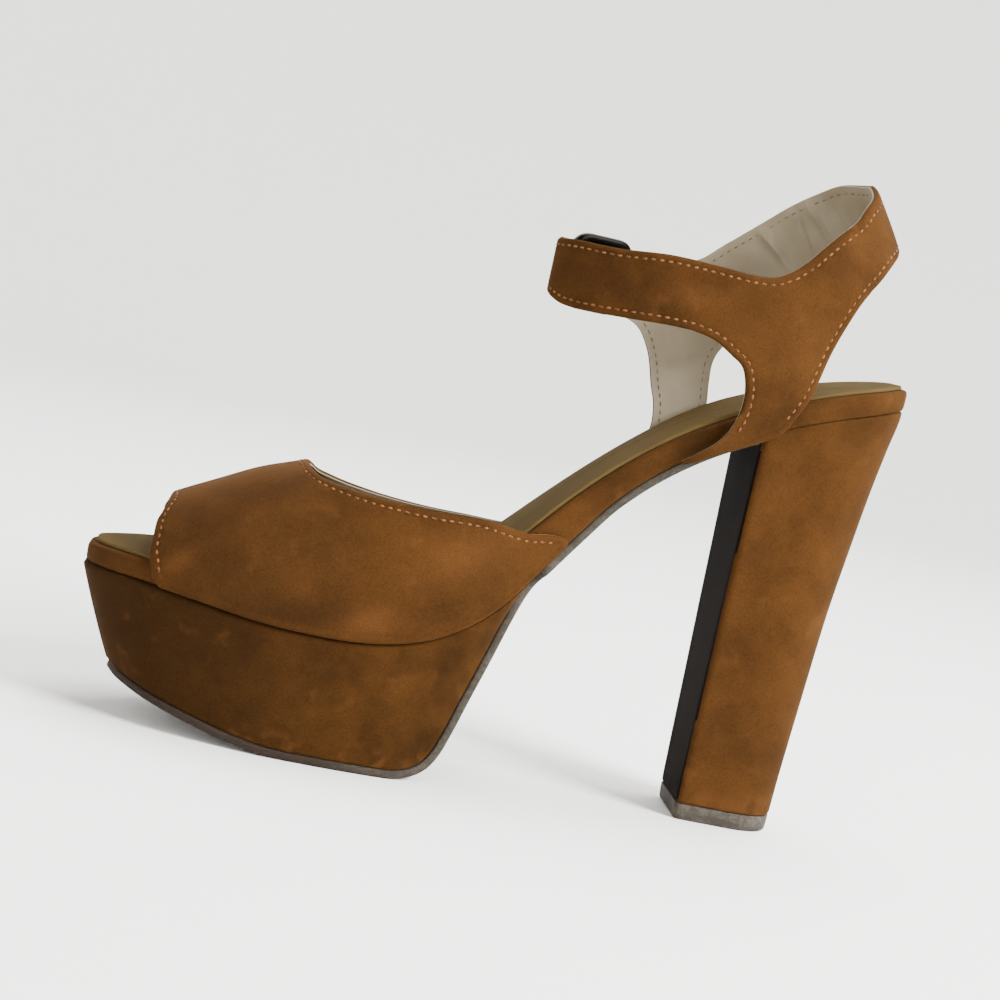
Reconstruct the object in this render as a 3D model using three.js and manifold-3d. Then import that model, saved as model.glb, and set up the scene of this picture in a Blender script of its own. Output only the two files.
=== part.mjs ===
// A high block-heeled platform sandal for the right foot, empty and buckled.
// Frame: +X to the toe, +Y to the inner (medial) side, +Z up, millimetres.
// The origin is the centre of the heel tip's face on the floor.
import * as THREE from "three";
import { mergeVertices } from "three/addons/utils/BufferGeometryUtils.js";
import Module from "manifold-3d";

const wasm = await Module();
wasm.setup();

// Driving dimensions: lengths and heights of the sole
const BED_RUN = 221.5; // level length of the foot bed, seat back to toe
const SEAT_BACK = 27.5; // the seat's back edge lies this far behind the heel tip's centre
const HEEL_HEIGHT = 135.5; // floor to the bed's top at the seat back
const PLATFORM_HEIGHT = 36.6; // floor to the board's underside at the ball
const BOARD = 6.6; // thickness of the covered board at the seat and the ball
const OUTSOLE = 2.4; // thickness of the rubber sheet
const SOCK = 1.2; // thickness of the insole sock
const PLATFORM_TAPER = 1.6; // the platform's sides draw in this much at the floor
const GAP = 0.3; // clearance between pieces that touch

// Driving dimensions: widths of the bed
const SEAT_WIDTH = 49.6;
const WAIST_WIDTH = 45;
const BALL_WIDTH = 80;
const SEAM_LIP = 0.8; // the platform stands out this far past the board
const SOCK_INSET = 1.9; // the sock's edge lies this far inside the board's
const OUTSOLE_INSET = 1.5; // the outsole's edge under the waist lies this far inside the board's

// Driving dimensions: the heel block and its tip
const TIP_LENGTH = 31.8;
const TIP_WIDTH = 29.6;
const TIP_HEIGHT = 4.8;
const HEEL_TOP_WIDTH = 48.6; // width of the block at seat height
const BREAST = 14.3; // the flat front face lies this far ahead of the origin

// Driving dimensions: the upper
const WALL = 2; // suede and lining together
const VAMP_RISE = 36.4; // height of the vamp's peak over the bed
const COLLAR_RISE = 56.3; // height of the back strap's top over the seat
const ANKLE_WIDTH = 52; // width of the strap loop
const STRAP_REACH = 60; // the strap's tip lies this far past the front fold, along the loop

// Driving dimensions: the buckle
const BUCKLE_AT = 26; // centre of the frame, past the front fold along the loop
const BUCKLE_LENGTH = 21;
const BUCKLE_HEIGHT = 22;
const BUCKLE_BAR = 2.2;
const BUCKLE_CORNER = 4;
const TAB_WALL = 1; // thin leather fold that holds the buckle's bar
const PRONG_WIDTH = 2.2;
const PRONG_THICK = 1.1;

const WIDTHS = { seat: SEAT_WIDTH, waist: WAIST_WIDTH, ball: BALL_WIDTH, ankle: ANKLE_WIDTH };

// The foot bed, heel to toe. along: share of BED_RUN from the seat's back. rise: height of the top
// face over the ball, as a share of the heel's lift. inner, outer: distances of the two edges from
// the middle line as shares of half the named width. edge: thickness as a share of BOARD. roll: how far
// the outer edge lies under the inner one, as a share of BOARD.
const BED = [
  { along: 0, rise: 1, of: "seat", inner: 0.28, outer: 0.28, edge: 1, roll: 0 },
  { along: 0.009, rise: 0.996, of: "seat", inner: 0.5, outer: 0.5, edge: 1, roll: 0 },
  { along: 0.025, rise: 0.987, of: "seat", inner: 0.665, outer: 0.665, edge: 1, roll: 0 },
  { along: 0.052, rise: 0.971, of: "seat", inner: 0.82, outer: 0.82, edge: 1, roll: 0 },
  { along: 0.093, rise: 0.944, of: "seat", inner: 0.94, outer: 0.94, edge: 1, roll: 0 },
  { along: 0.147, rise: 0.898, of: "seat", inner: 1, outer: 1, edge: 1, roll: 0 },
  { along: 0.205, rise: 0.838, of: "seat", inner: 0.985, outer: 0.99, edge: 1, roll: 0 },
  { along: 0.26, rise: 0.768, of: "waist", inner: 1.035, outer: 1.065, edge: 1.01, roll: 0.12 },
  { along: 0.323, rise: 0.66, of: "waist", inner: 0.99, outer: 1.035, edge: 1.03, roll: 0.3 },
  { along: 0.377, rise: 0.546, of: "waist", inner: 1.005, outer: 1.09, edge: 1.12, roll: 0.42 },
  { along: 0.422, rise: 0.436, of: "waist", inner: 1.085, outer: 1.21, edge: 1.36, roll: 0.48 },
  { along: 0.467, rise: 0.316, of: "ball", inner: 0.7, outer: 0.775, edge: 1.55, roll: 0.5 },
  { along: 0.517, rise: 0.183, of: "ball", inner: 0.815, outer: 0.88, edge: 1.72, roll: 0.42 },
  { along: 0.567, rise: 0.084, of: "ball", inner: 0.925, outer: 0.955, edge: 1.55, roll: 0.25 },
  { along: 0.621, rise: 0.027, of: "ball", inner: 0.975, outer: 1, edge: 1.26, roll: 0.08 },
  { along: 0.675, rise: 0.005, of: "ball", inner: 0.985, outer: 1, edge: 1.1, roll: 0 },
  { along: 0.734, rise: 0, of: "ball", inner: 0.99, outer: 0.955, edge: 1, roll: 0 },
  { along: 0.792, rise: 0.009, of: "ball", inner: 0.965, outer: 0.86, edge: 0.97, roll: 0 },
  { along: 0.847, rise: 0.023, of: "ball", inner: 0.915, outer: 0.725, edge: 0.94, roll: 0 },
  { along: 0.896, rise: 0.032, of: "ball", inner: 0.835, outer: 0.565, edge: 0.92, roll: 0 },
  { along: 0.937, rise: 0.036, of: "ball", inner: 0.725, outer: 0.39, edge: 0.9, roll: 0 },
  { along: 0.968, rise: 0.034, of: "ball", inner: 0.59, outer: 0.21, edge: 0.89, roll: 0 },
  { along: 0.989, rise: 0.034, of: "ball", inner: 0.46, outer: 0.05, edge: 0.88, roll: 0 },
  { along: 1, rise: 0.034, of: "ball", inner: 0.315, outer: -0.08, edge: 0.88, roll: 0 },
];

const WAIST_END = 0.468; // the outsole leaves the bed here, share of BED_RUN

// The outsole's lower face from the platform's rear face to the toe. along: share of BED_RUN.
// up: height over the floor as a share of PLATFORM_HEIGHT. roll: share of the bed's roll it follows.
const TREAD = [
  { along: 0.434, up: 1.655, roll: 1 },
  { along: 0.4445, up: 1.535, roll: 1 },
  { along: 0.457, up: 1.315, roll: 0.85 },
  { along: 0.472, up: 1.01, roll: 0.55 },
  { along: 0.488, up: 0.7, roll: 0.3 },
  { along: 0.504, up: 0.385, roll: 0.1 },
  { along: 0.514, up: 0.22, roll: 0.03 },
  { along: 0.527, up: 0.105, roll: 0 },
  { along: 0.546, up: 0.035, roll: 0 },
  { along: 0.575, up: 0, roll: 0 },
  { along: 0.64, up: 0, roll: 0 },
  { along: 0.705, up: 0, roll: 0 },
  { along: 0.742, up: 0.016, roll: 0 },
  { along: 0.781, up: 0.055, roll: 0 },
  { along: 0.82, up: 0.105, roll: 0 },
  { along: 0.856, up: 0.158, roll: 0 },
  { along: 0.89, up: 0.21, roll: 0 },
  { along: 0.92, up: 0.262, roll: 0 },
  { along: 0.942, up: 0.302, roll: 0 },
  { along: 0.955, up: 0.327, roll: 0 },
];

// The heel block from the tip to above the seat. up: share of HEEL_HEIGHT. back: how far the rear
// edge has gone from the tip's back to the seat's back. flat: share of the side that is straight.
const HEEL = [
  { up: 0, back: 0, flat: 0.5 },
  { up: 0.09, back: 0.03, flat: 0.48 },
  { up: 0.18, back: 0.085, flat: 0.45 },
  { up: 0.31, back: 0.175, flat: 0.42 },
  { up: 0.48, back: 0.3, flat: 0.38 },
  { up: 0.65, back: 0.51, flat: 0.33 },
  { up: 0.77, back: 0.68, flat: 0.29 },
  { up: 0.87, back: 0.85, flat: 0.25 },
  { up: 0.94, back: 0.98, flat: 0.22 },
  { up: 1.03, back: 1.02, flat: 0.2 },
];

// The vamp's ridge line, toe to instep, over the bed as a share of VAMP_RISE, and how far the
// ridge leans to the inner side as a share of half the ball width.
const RIDGE = [
  { along: 0.38, rise: 0.97, lean: 0.02 },
  { along: 0.45, rise: 1.16, lean: 0.05 },
  { along: 0.52, rise: 1.38, lean: 0.08 },
  { along: 0.57, rise: 1.43, lean: 0.11 },
  { along: 0.62, rise: 1.37, lean: 0.14 },
  { along: 0.69, rise: 1.18, lean: 0.17 },
  { along: 0.759, rise: 0.985, lean: 0.19 },
  { along: 0.8, rise: 0.87, lean: 0.2 },
  { along: 0.85, rise: 0.685, lean: 0.21 },
  { along: 0.905, rise: 0.49, lean: 0.22 },
  { along: 0.94, rise: 0.37, lean: 0.22 },
];

// The vamp's cut edges seen from the side, over the bed as a share of VAMP_RISE, for the inner and the
// outer side.
const VAMP_THROAT = [
  { along: 0.759, inner: 1.05, outer: 1.05 },
  { along: 0.737, inner: 0.955, outer: 0.92 },
  { along: 0.7, inner: 0.915, outer: 0.83 },
  { along: 0.64, inner: 0.86, outer: 0.72 },
  { along: 0.58, inner: 0.73, outer: 0.56 },
  { along: 0.52, inner: 0.47, outer: 0.3 },
  { along: 0.48, inner: 0.16, outer: 0.02 },
  { along: 0.453, inner: -0.04, outer: -0.16 },
  { along: 0.4, inner: -0.38, outer: -0.46 },
];
const VAMP_FRONT = [
  { along: 0.905, inner: -0.4, outer: -0.4 },
  { along: 0.9085, inner: -0.1, outer: -0.1 },
  { along: 0.9205, inner: 0.08, outer: 0.08 },
  { along: 0.9195, inner: 0.2, outer: 0.2 },
  { along: 0.9165, inner: 0.35, outer: 0.35 },
  { along: 0.907, inner: 0.5, outer: 0.5 },
  { along: 0.898, inner: 0.66, outer: 0.66 },
];
const VAMP_SQUARENESS = 2.35; // 2 is an ellipse, more is boxier

// The strap loop at several heights over the seat, as a share of COLLAR_RISE. back and front: ends
// of the loop as shares of BED_RUN from the seat's back. half: share of half the named width.
const LOOP = [
  { up: -0.75, back: -0.012, front: 0.485, of: "seat", half: 1.115 },
  { up: -0.2, back: -0.012, front: 0.485, of: "seat", half: 1.115 },
  { up: 0.08, back: -0.008, front: 0.488, of: "ankle", half: 1.045 },
  { up: 0.4, back: 0.01, front: 0.488, of: "ankle", half: 1 },
  { up: 0.7, back: 0.049, front: 0.48, of: "ankle", half: 0.93 },
  { up: 1.02, back: 0.102, front: 0.46, of: "ankle", half: 0.83 },
];
const LOOP_WIDEST = 0.26; // where the loop is widest, share of BED_RUN
const BACK_SQUARENESS = 2.3;
const FRONT_SQUARENESS = 1.7;

// The inner quarter with its ankle strap, seen from the side: share of BED_RUN, and height over the
// seat, or over the bed below, as a share of COLLAR_RISE. From the front fold over the crotch to the
// back, down the leg's rear edge, along its foot and up round the front to the strap's lower edge.
const FOLD_LOW = 0.1; // the strap's edges at the front fold
const FOLD_HIGH = 0.392;
const INNER_QUARTER = [
  { along: 0.52, on: "seat", up: FOLD_HIGH },
  { along: 0.487, on: "seat", up: FOLD_HIGH },
  { along: 0.42, on: "seat", up: 0.39 },
  { along: 0.352, on: "seat", up: 0.412 },
  { along: 0.29, on: "seat", up: 0.405 },
  { along: 0.25, on: "seat", up: 0.398 },
  { along: 0.222, on: "seat", up: 0.408 },
  { along: 0.203, on: "seat", up: 0.446 },
  { along: 0.184, on: "seat", up: 0.51 },
  { along: 0.164, on: "seat", up: 0.602 },
  { along: 0.144, on: "seat", up: 0.69 },
  { along: 0.123, on: "seat", up: 0.776 },
  { along: 0.1085, on: "seat", up: 0.87 },
  { along: 0.1, on: "seat", up: 1 },
  { along: 0.0, on: "seat", up: 1 },
  { along: 0.048, on: "seat", up: 0.7 },
  { along: 0.0585, on: "seat", up: 0.62 },
  { along: 0.075, on: "seat", up: 0.522 },
  { along: 0.0965, on: "seat", up: 0.394 },
  { along: 0.114, on: "seat", up: 0.243 },
  { along: 0.126, on: "seat", up: 0.11 },
  { along: 0.1355, on: "bed", up: 0.105 },
  { along: 0.1435, on: "bed", up: 0 },
  { along: 0.155, on: "bed", up: -0.072 },
  { along: 0.168, on: "bed", up: -0.14 },
  { along: 0.196, on: "bed", up: -0.165 },
  { along: 0.24, on: "bed", up: -0.165 },
  { along: 0.286, on: "bed", up: -0.142 },
  { along: 0.2895, on: "bed", up: -0.122 },
  { along: 0.266, on: "bed", up: -0.11 },
  { along: 0.2475, on: "bed", up: -0.085 },
  { along: 0.235, on: "bed", up: -0.035 },
  { along: 0.2285, on: "bed", up: 0.035 },
  { along: 0.2275, on: "bed", up: 0.13 },
  { along: 0.2375, on: "bed", up: 0.272 },
  { along: 0.255, on: "seat", up: -0.012 },
  { along: 0.2785, on: "seat", up: 0.039 },
  { along: 0.304, on: "seat", up: 0.063 },
  { along: 0.335, on: "seat", up: 0.068 },
  { along: 0.4, on: "seat", up: 0.056 },
  { along: 0.45, on: "seat", up: 0.05 },
  { along: 0.473, on: "seat", up: 0.058 },
  { along: 0.487, on: "seat", up: FOLD_LOW },
  { along: 0.52, on: "seat", up: FOLD_LOW },
];

// The outer quarter sits further forward. Its branch ends round, inside the strap, and carries the
// buckle on its outer face.
const OUTER_QUARTER = [
  { along: 0.445, on: "seat", up: 0.25 },
  { along: 0.442, on: "seat", up: 0.34 },
  { along: 0.432, on: "seat", up: 0.41 },
  { along: 0.415, on: "seat", up: 0.44 },
  { along: 0.39, on: "seat", up: 0.44 },
  { along: 0.355, on: "seat", up: 0.42 },
  { along: 0.32, on: "seat", up: 0.42 },
  { along: 0.287, on: "seat", up: 0.437 },
  { along: 0.252, on: "seat", up: 0.554 },
  { along: 0.209, on: "seat", up: 0.708 },
  { along: 0.18, on: "seat", up: 0.815 },
  { along: 0.151, on: "seat", up: 0.904 },
  { along: 0.123, on: "seat", up: 0.975 },
  { along: 0.1, on: "seat", up: 1 },
  { along: 0.0, on: "seat", up: 1 },
  { along: 0.048, on: "seat", up: 0.7 },
  { along: 0.062, on: "seat", up: 0.625 },
  { along: 0.088, on: "seat", up: 0.53 },
  { along: 0.128, on: "seat", up: 0.405 },
  { along: 0.176, on: "seat", up: 0.25 },
  { along: 0.21, on: "seat", up: 0.1 },
  { along: 0.23, on: "seat", up: -0.02 },
  { along: 0.2345, on: "seat", up: -0.09 },
  { along: 0.233, on: "seat", up: -0.2 },
  { along: 0.23, on: "bed", up: 0 },
  { along: 0.235, on: "bed", up: -0.08 },
  { along: 0.245, on: "bed", up: -0.15 },
  { along: 0.27, on: "bed", up: -0.165 },
  { along: 0.31, on: "bed", up: -0.162 },
  { along: 0.343, on: "bed", up: -0.15 },
  { along: 0.346, on: "bed", up: -0.125 },
  { along: 0.325, on: "bed", up: -0.1 },
  { along: 0.308, on: "bed", up: -0.04 },
  { along: 0.3, on: "bed", up: 0.03 },
  { along: 0.303, on: "seat", up: -0.36 },
  { along: 0.312, on: "seat", up: -0.265 },
  { along: 0.328, on: "seat", up: -0.085 },
  { along: 0.347, on: "seat", up: 0.018 },
  { along: 0.372, on: "seat", up: 0.06 },
  { along: 0.41, on: "seat", up: 0.06 },
  { along: 0.43, on: "seat", up: 0.085 },
  { along: 0.441, on: "seat", up: 0.15 },
];
const STRAP_LOW = 0.134; // lower edge of the ankle strap at the buckle, share of COLLAR_RISE
const STRAP_HIGH = 0.427; // its upper edge

// Derived places
const xOf = (along) => along * BED_RUN - SEAT_BACK;
const ballTop = PLATFORM_HEIGHT + BOARD;
const heelLift = HEEL_HEIGHT - ballTop;
const toeX = xOf(1);
const strapMiddle = HEEL_HEIGHT + ((STRAP_LOW + STRAP_HIGH) / 2) * COLLAR_RISE;
const strapWidth = (STRAP_HIGH - STRAP_LOW) * COLLAR_RISE;

// A smooth curve through a table's rows that never overshoots them.
function smoothThrough(rows, keyOf, valueOf) {
  const xs = rows.map(keyOf);
  const ys = rows.map(valueOf);
  const slopes = xs.slice(1).map((x, i) => (ys[i + 1] - ys[i]) / (x - xs[i]));
  const tangents = xs.map((_, i) => {
    const before = slopes[Math.max(i - 1, 0)];
    const after = slopes[Math.min(i, slopes.length - 1)];
    return before * after <= 0 ? 0 : (2 * before * after) / (before + after);
  });
  return (x) => {
    const held = Math.min(Math.max(x, xs[0]), xs[xs.length - 1]);
    let i = 0;
    while (i < xs.length - 2 && held > xs[i + 1]) i += 1;
    const width = xs[i + 1] - xs[i];
    const t = (held - xs[i]) / width;
    const rise = t * t * (3 - 2 * t);
    const ease = t * (1 - t) * width;
    return ys[i] + (ys[i + 1] - ys[i]) * rise + ease * ((1 - t) * tangents[i] - t * tangents[i + 1]);
  };
}

const rowX = (row) => xOf(row.along);
const bedHeight = smoothThrough(BED, rowX, (row) => ballTop + row.rise * heelLift);
const boardEdge = smoothThrough(BED, rowX, (row) => row.edge * BOARD);
const innerEdge = smoothThrough(BED, rowX, (row) => (row.inner * WIDTHS[row.of]) / 2);
const outerEdge = smoothThrough(BED, rowX, (row) => (row.outer * WIDTHS[row.of]) / 2);
const rollDrop = smoothThrough(BED, rowX, (row) => row.roll * BOARD);

// How far the bed has rolled down at a place on its outer side.
const rollAt = (x, y) => (y < 0 ? rollDrop(x) * Math.min(1, (y / outerEdge(x)) ** 2) : 0);

// The point of the bed at x, sunk by a depth square to the bed's slope.
function bedPoint(x, depth) {
  const step = 0.5;
  const slope = (bedHeight(x + step) - bedHeight(x - step)) / (2 * step);
  const unit = Math.hypot(1, slope);
  return { x: x + (depth * slope) / unit, z: bedHeight(x) - depth / unit };
}

// Steps from one place to another, ends included.
const steps = (from, to, count) =>
  Array.from({ length: count + 1 }, (_, i) => from + ((to - from) * i) / count);

// A table's places with more between them, so that the curve shows.
function stations(rows, between, from = -Infinity, to = Infinity) {
  const xs = rows.map(rowX);
  const all = xs.slice(1).flatMap((x, i) => steps(xs[i], x, between).slice(i ? 1 : 0));
  return all.filter((x) => x >= from && x <= to);
}

// A closed solid from index triples over a list of points, turned so that its faces point out.
function closedSolid(points, faces) {
  const corner = new THREE.Vector3();
  const volume = faces.reduce(
    (sum, [a, b, c]) => sum + points[a].dot(corner.crossVectors(points[b], points[c])),
    0,
  );
  const facing = volume < 0 ? faces.map(([a, b, c]) => [a, c, b]) : faces;
  return new wasm.Manifold(
    new wasm.Mesh({
      numProp: 3,
      vertProperties: new Float32Array(points.flatMap((p) => [p.x, p.y, p.z])),
      triVerts: new Uint32Array(facing.flat()),
    }),
  );
}

// A solid from any three.js geometry that is closed.
function solidOf(geometry) {
  const bare = geometry.clone();
  bare.deleteAttribute("normal");
  bare.deleteAttribute("uv");
  const merged = mergeVertices(bare, 1e-4);
  return new wasm.Manifold(
    new wasm.Mesh({
      numProp: 3,
      vertProperties: new Float32Array(merged.attributes.position.array),
      triVerts: new Uint32Array(merged.index.array),
    }),
  );
}

function geometryOf(solid) {
  const mesh = solid.getMesh();
  const geometry = new THREE.BufferGeometry();
  geometry.setAttribute("position", new THREE.BufferAttribute(mesh.vertProperties, 3));
  geometry.setIndex(new THREE.BufferAttribute(mesh.triVerts, 1));
  const flat = geometry.toNonIndexed();
  flat.computeVertexNormals();
  return flat;
}

// A solid between rings that lie over one another. Each ring runs up the outer side from heel to toe
// and back down the inner side, and its first and last places face one another.
function stackRings(rings) {
  const count = rings[0].length;
  const half = count / 2;
  const faces = [];
  const quad = (a, b, c, d) => faces.push([a, b, c], [a, c, d]);
  rings.slice(1).forEach((_, level) => {
    for (let i = 0; i < count; i += 1) {
      const next = (i + 1) % count;
      const low = level * count;
      quad(low + i, low + next, low + count + next, low + count + i);
    }
  });
  const top = (rings.length - 1) * count;
  for (let i = 0; i < half - 1; i += 1) {
    const across = count - 1 - i;
    quad(top + i, top + i + 1, top + across - 1, top + across);
    quad(i, across, across - 1, i + 1);
  }
  return closedSolid(rings.flat(), faces);
}

// A ring in plan from the edges at a list of places, drawn in by an inset square to its outline.
function planRing(places, edgesAt, inset) {
  const outer = places.map((x) => ({ x, y: -edgesAt(x).outer }));
  const inner = places.map((x) => ({ x, y: edgesAt(x).inner })).reverse();
  const ring = [...outer, ...inner];
  return ring.map((p, i) => {
    const before = ring[(i + ring.length - 1) % ring.length];
    const after = ring[(i + 1) % ring.length];
    const length = Math.hypot(after.x - before.x, after.y - before.y);
    const inwardX = -(after.y - before.y) / length;
    const inwardY = (after.x - before.x) / length;
    return { station: p.x, x: p.x + inwardX * inset, y: p.y + inwardY * inset };
  });
}

const bedEdges = (x) => ({ inner: innerEdge(x), outer: outerEdge(x) });

// A layer that follows the bed between two depths, with its edges eased at top and bottom.
function bedLayer(places, levels) {
  return stackRings(
    levels.map(({ depth, inset }) =>
      planRing(places, bedEdges, inset).map((p) => {
        const held = Math.min(Math.max(p.x, xOf(0)), toeX);
        const point = bedPoint(held, depth(held));
        return new THREE.Vector3(point.x + (p.x - held), p.y, point.z - rollAt(held, p.y));
      }),
    ),
  );
}

// A straight cutter across the shoe, from an outline seen from the side.
function sidePrism(outline, fromY, toY) {
  const shape = new THREE.Shape(outline.map((p) => new THREE.Vector2(p.x, p.z)));
  const geometry = new THREE.ExtrudeGeometry(shape, { depth: toY - fromY, bevelEnabled: false });
  geometry.rotateX(Math.PI / 2);
  geometry.translate(0, toY, 0);
  return solidOf(geometry);
}

// A curved wall: its outer face is a grid over a surface that may stand off it, and its inner face
// lies one wall within.
function curvedWall(surface, us, vs, outside, thickness) {
  const step = 1e-3;
  const at = (u, v, offset) => {
    const p = surface(u, v);
    const alongU = surface(u + step, v).sub(surface(u - step, v));
    const alongV = surface(u, v + step).sub(surface(u, v - step));
    return p.addScaledVector(alongU.cross(alongV).normalize(), offset);
  };
  const grid = (within) => us.flatMap((u) => vs.map((v) => at(u, v, outside(v) - within)));
  const points = [...grid(0), ...grid(thickness)];
  const rows = us.length;
  const columns = vs.length;
  const layer = rows * columns;
  const faces = [];
  const quad = (a, b, c, d) => faces.push([a, b, c], [a, c, d]);
  for (let i = 0; i < rows - 1; i += 1)
    for (let j = 0; j < columns - 1; j += 1) {
      const a = i * columns + j;
      quad(a, a + columns, a + columns + 1, a + 1);
      quad(layer + a, layer + a + 1, layer + a + columns + 1, layer + a + columns);
    }
  for (let i = 0; i < rows - 1; i += 1) {
    const first = i * columns;
    const last = first + columns - 1;
    quad(first, layer + first, layer + first + columns, first + columns);
    quad(last, last + columns, layer + last + columns, layer + last);
  }
  for (let j = 0; j < columns - 1; j += 1) {
    const last = (rows - 1) * columns + j;
    quad(j, j + 1, layer + j + 1, layer + j);
    quad(last, layer + last, layer + last + 1, last + 1);
  }
  return closedSolid(points, faces);
}

// Sole

const boardPlaces = stations(BED, 2);
const BOARD_EASE = 1.4; // the wrapped edge turns over this far

function makeBoard(grow = 0) {
  const down = (x) => boardEdge(x) + grow;
  return bedLayer(boardPlaces, [
    { depth: down, inset: BOARD_EASE / 2 - grow },
    { depth: (x) => boardEdge(x) - BOARD_EASE / 2, inset: -grow },
    { depth: () => BOARD_EASE, inset: -grow },
    { depth: () => -grow, inset: BOARD_EASE - grow },
  ]);
}

const makeSock = () =>
  bedLayer(boardPlaces, [
    { depth: () => -GAP, inset: SOCK_INSET },
    { depth: () => -GAP - SOCK, inset: SOCK_INSET },
  ]);

// The tread's own places are drawn in at the toe, and its outline is the bed's one stretched back.
const treadX = (row) => xOf(row.along);
const treadEnd = treadX(TREAD[TREAD.length - 1]);
const treadHeight = (row) => row.up * PLATFORM_HEIGHT;
const toeStretch = (x) => {
  const middle = xOf(0.6);
  const share = Math.max(0, (x - middle) / (treadEnd - middle));
  return x + (toeX - treadEnd) * share * share;
};
const platformEdges = (x, inset) => ({
  inner: innerEdge(x) + SEAM_LIP - inset,
  outer: outerEdge(x) + SEAM_LIP - inset,
});

// The place on the bed whose underside, or a depth below that, lies over x.
function placeOverFoot(x, below = 0) {
  let low = x;
  let high = x + 3 * BOARD;
  for (let i = 0; i < 30; i += 1) {
    const middle = (low + high) / 2;
    if (bedPoint(middle, boardEdge(middle) + below).x < x) low = middle;
    else high = middle;
  }
  return low;
}

// The lower face of the outsole as one path: under the waist, down the platform's back, to the toe.
function treadPath() {
  const lastBed = xOf(WAIST_END);
  const start = placeOverFoot(BREAST + GAP, GAP + OUTSOLE);
  const places = [start, ...stations(BED, 2, start + 1, lastBed)];
  const waist = places.map((x) => {
    const point = bedPoint(x, boardEdge(x) + GAP + OUTSOLE);
    return { ...point, edges: bedEdges(x), inset: OUTSOLE_INSET, roll: rollDrop(x) };
  });
  const tread = TREAD.map((row) => {
    const x = treadX(row);
    const down = Math.min(1, Math.max(0, 1 - treadHeight(row) / (1.7 * PLATFORM_HEIGHT)));
    const inset = OUTSOLE_INSET + (PLATFORM_TAPER + SEAM_LIP - OUTSOLE_INSET) * down;
    const edges = bedEdges(toeStretch(x));
    const roll = rollDrop(lastBed) * row.roll;
    return { x, z: treadHeight(row), edges, inset: inset - SEAM_LIP * down, roll };
  });
  return [...waist, ...tread];
}

// The path moved square to itself, to the side of the foot.
function raisedPath(path, offset) {
  return path.map((p, i) => {
    const before = path[Math.max(i - 1, 0)];
    const after = path[Math.min(i + 1, path.length - 1)];
    const length = Math.hypot(after.x - before.x, after.z - before.z);
    const x = p.x - ((after.z - before.z) / length) * offset;
    return { ...p, x, z: p.z + ((after.x - before.x) / length) * offset };
  });
}

const pathRing = (path) => [
  ...path.map((p) => new THREE.Vector3(p.x, -(p.edges.outer - p.inset), p.z - p.roll)),
  ...path.map((p) => new THREE.Vector3(p.x, p.edges.inner - p.inset, p.z)).reverse(),
];

const tread = treadPath();
const makeOutsole = () => stackRings([pathRing(tread), pathRing(raisedPath(tread, OUTSOLE))]);

// The platform fills the space between the board's underside and the outsole.
function makePlatform(grow = 0) {
  const low = raisedPath(tread, OUTSOLE + GAP).slice(tread.length - TREAD.length);
  const lengths = low.map((p, i) => (i ? Math.hypot(p.x - low[i - 1].x, p.z - low[i - 1].z) : 0));
  const whole = lengths.reduce((sum, part) => sum + part, 0);
  const from = placeOverFoot(low[0].x);
  let run = 0;
  const high = low.map((p, i) => {
    run += lengths[i];
    const share = run / whole;
    const station = from + (toeX - from) * (0.72 * share + 0.28 * share * share);
    const held = Math.min(station, toeX);
    const edges = platformEdges(held, -grow);
    return { ...bedPoint(held, boardEdge(held) + 2 * GAP - grow), edges, inset: 0, roll: rollDrop(held) };
  });
  return stackRings([pathRing(low), pathRing(high)]);
}

// Heel

function heelRing(row, z) {
  const tipBack = -TIP_LENGTH / 2;
  const back = tipBack + (-SEAT_BACK - tipBack) * row.back;
  const half = (TIP_WIDTH + (HEEL_TOP_WIDTH - TIP_WIDTH) * (z / HEEL_HEIGHT)) / 2;
  const turn = BREAST - (BREAST - back) * row.flat;
  const corner = 1.2;
  const rounding = 2 / 2.4;
  const quarter = steps(0, Math.PI / 2, 8).map((angle) => ({
    x: turn - (turn - back) * Math.sin(angle) ** rounding,
    y: half * Math.cos(angle) ** rounding,
  }));
  const side = [{ x: BREAST, y: half - corner }, { x: BREAST - corner, y: half }, ...quarter];
  const outer = side.map((p) => new THREE.Vector3(p.x, -p.y, z)).reverse();
  const inner = side.map((p) => new THREE.Vector3(p.x, p.y, z));
  return [...outer.slice(1), ...inner.slice(0, -1)];
}

const heelRow = (up) => {
  const at = (key) => smoothThrough(HEEL, (row) => row.up, (row) => row[key])(up);
  return { back: at("back"), flat: at("flat") };
};

// A block with a flat fan over each end, for sections that lie level.
function levelBlock(rings) {
  const count = rings[0].length;
  const faces = [];
  rings.slice(1).forEach((_, level) => {
    const low = level * count;
    for (let i = 0; i < count; i += 1) {
      const next = (i + 1) % count;
      faces.push([low + i, low + next, low + count + next], [low + i, low + count + next, low + count + i]);
    }
  });
  const top = (rings.length - 1) * count;
  for (let i = 1; i < count - 1; i += 1) {
    faces.push([0, i + 1, i]);
    faces.push([top, top + i, top + i + 1]);
  }
  return closedSolid(rings.flat(), faces);
}

function makeHeel() {
  const bottom = (TIP_HEIGHT + GAP) / HEEL_HEIGHT;
  const ups = [bottom, ...HEEL.map((row) => row.up).filter((up) => up > bottom)];
  const block = levelBlock(ups.map((up) => heelRing(heelRow(up), up * HEEL_HEIGHT)));
  const under = stations(BED, 2, -SEAT_BACK, BREAST + 12).map((x) => bedPoint(x, boardEdge(x) + GAP));
  const first = under[0];
  const slope = (under[2].z - first.z) / (under[2].x - first.x);
  const behind = { x: first.x - 20, z: first.z - 20 * slope };
  const floor = [{ x: BREAST + 30, z: -1 }, { x: behind.x, z: -1 }];
  return block.intersect(sidePrism([behind, ...under, ...floor], -BALL_WIDTH, BALL_WIDTH));
}

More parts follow.
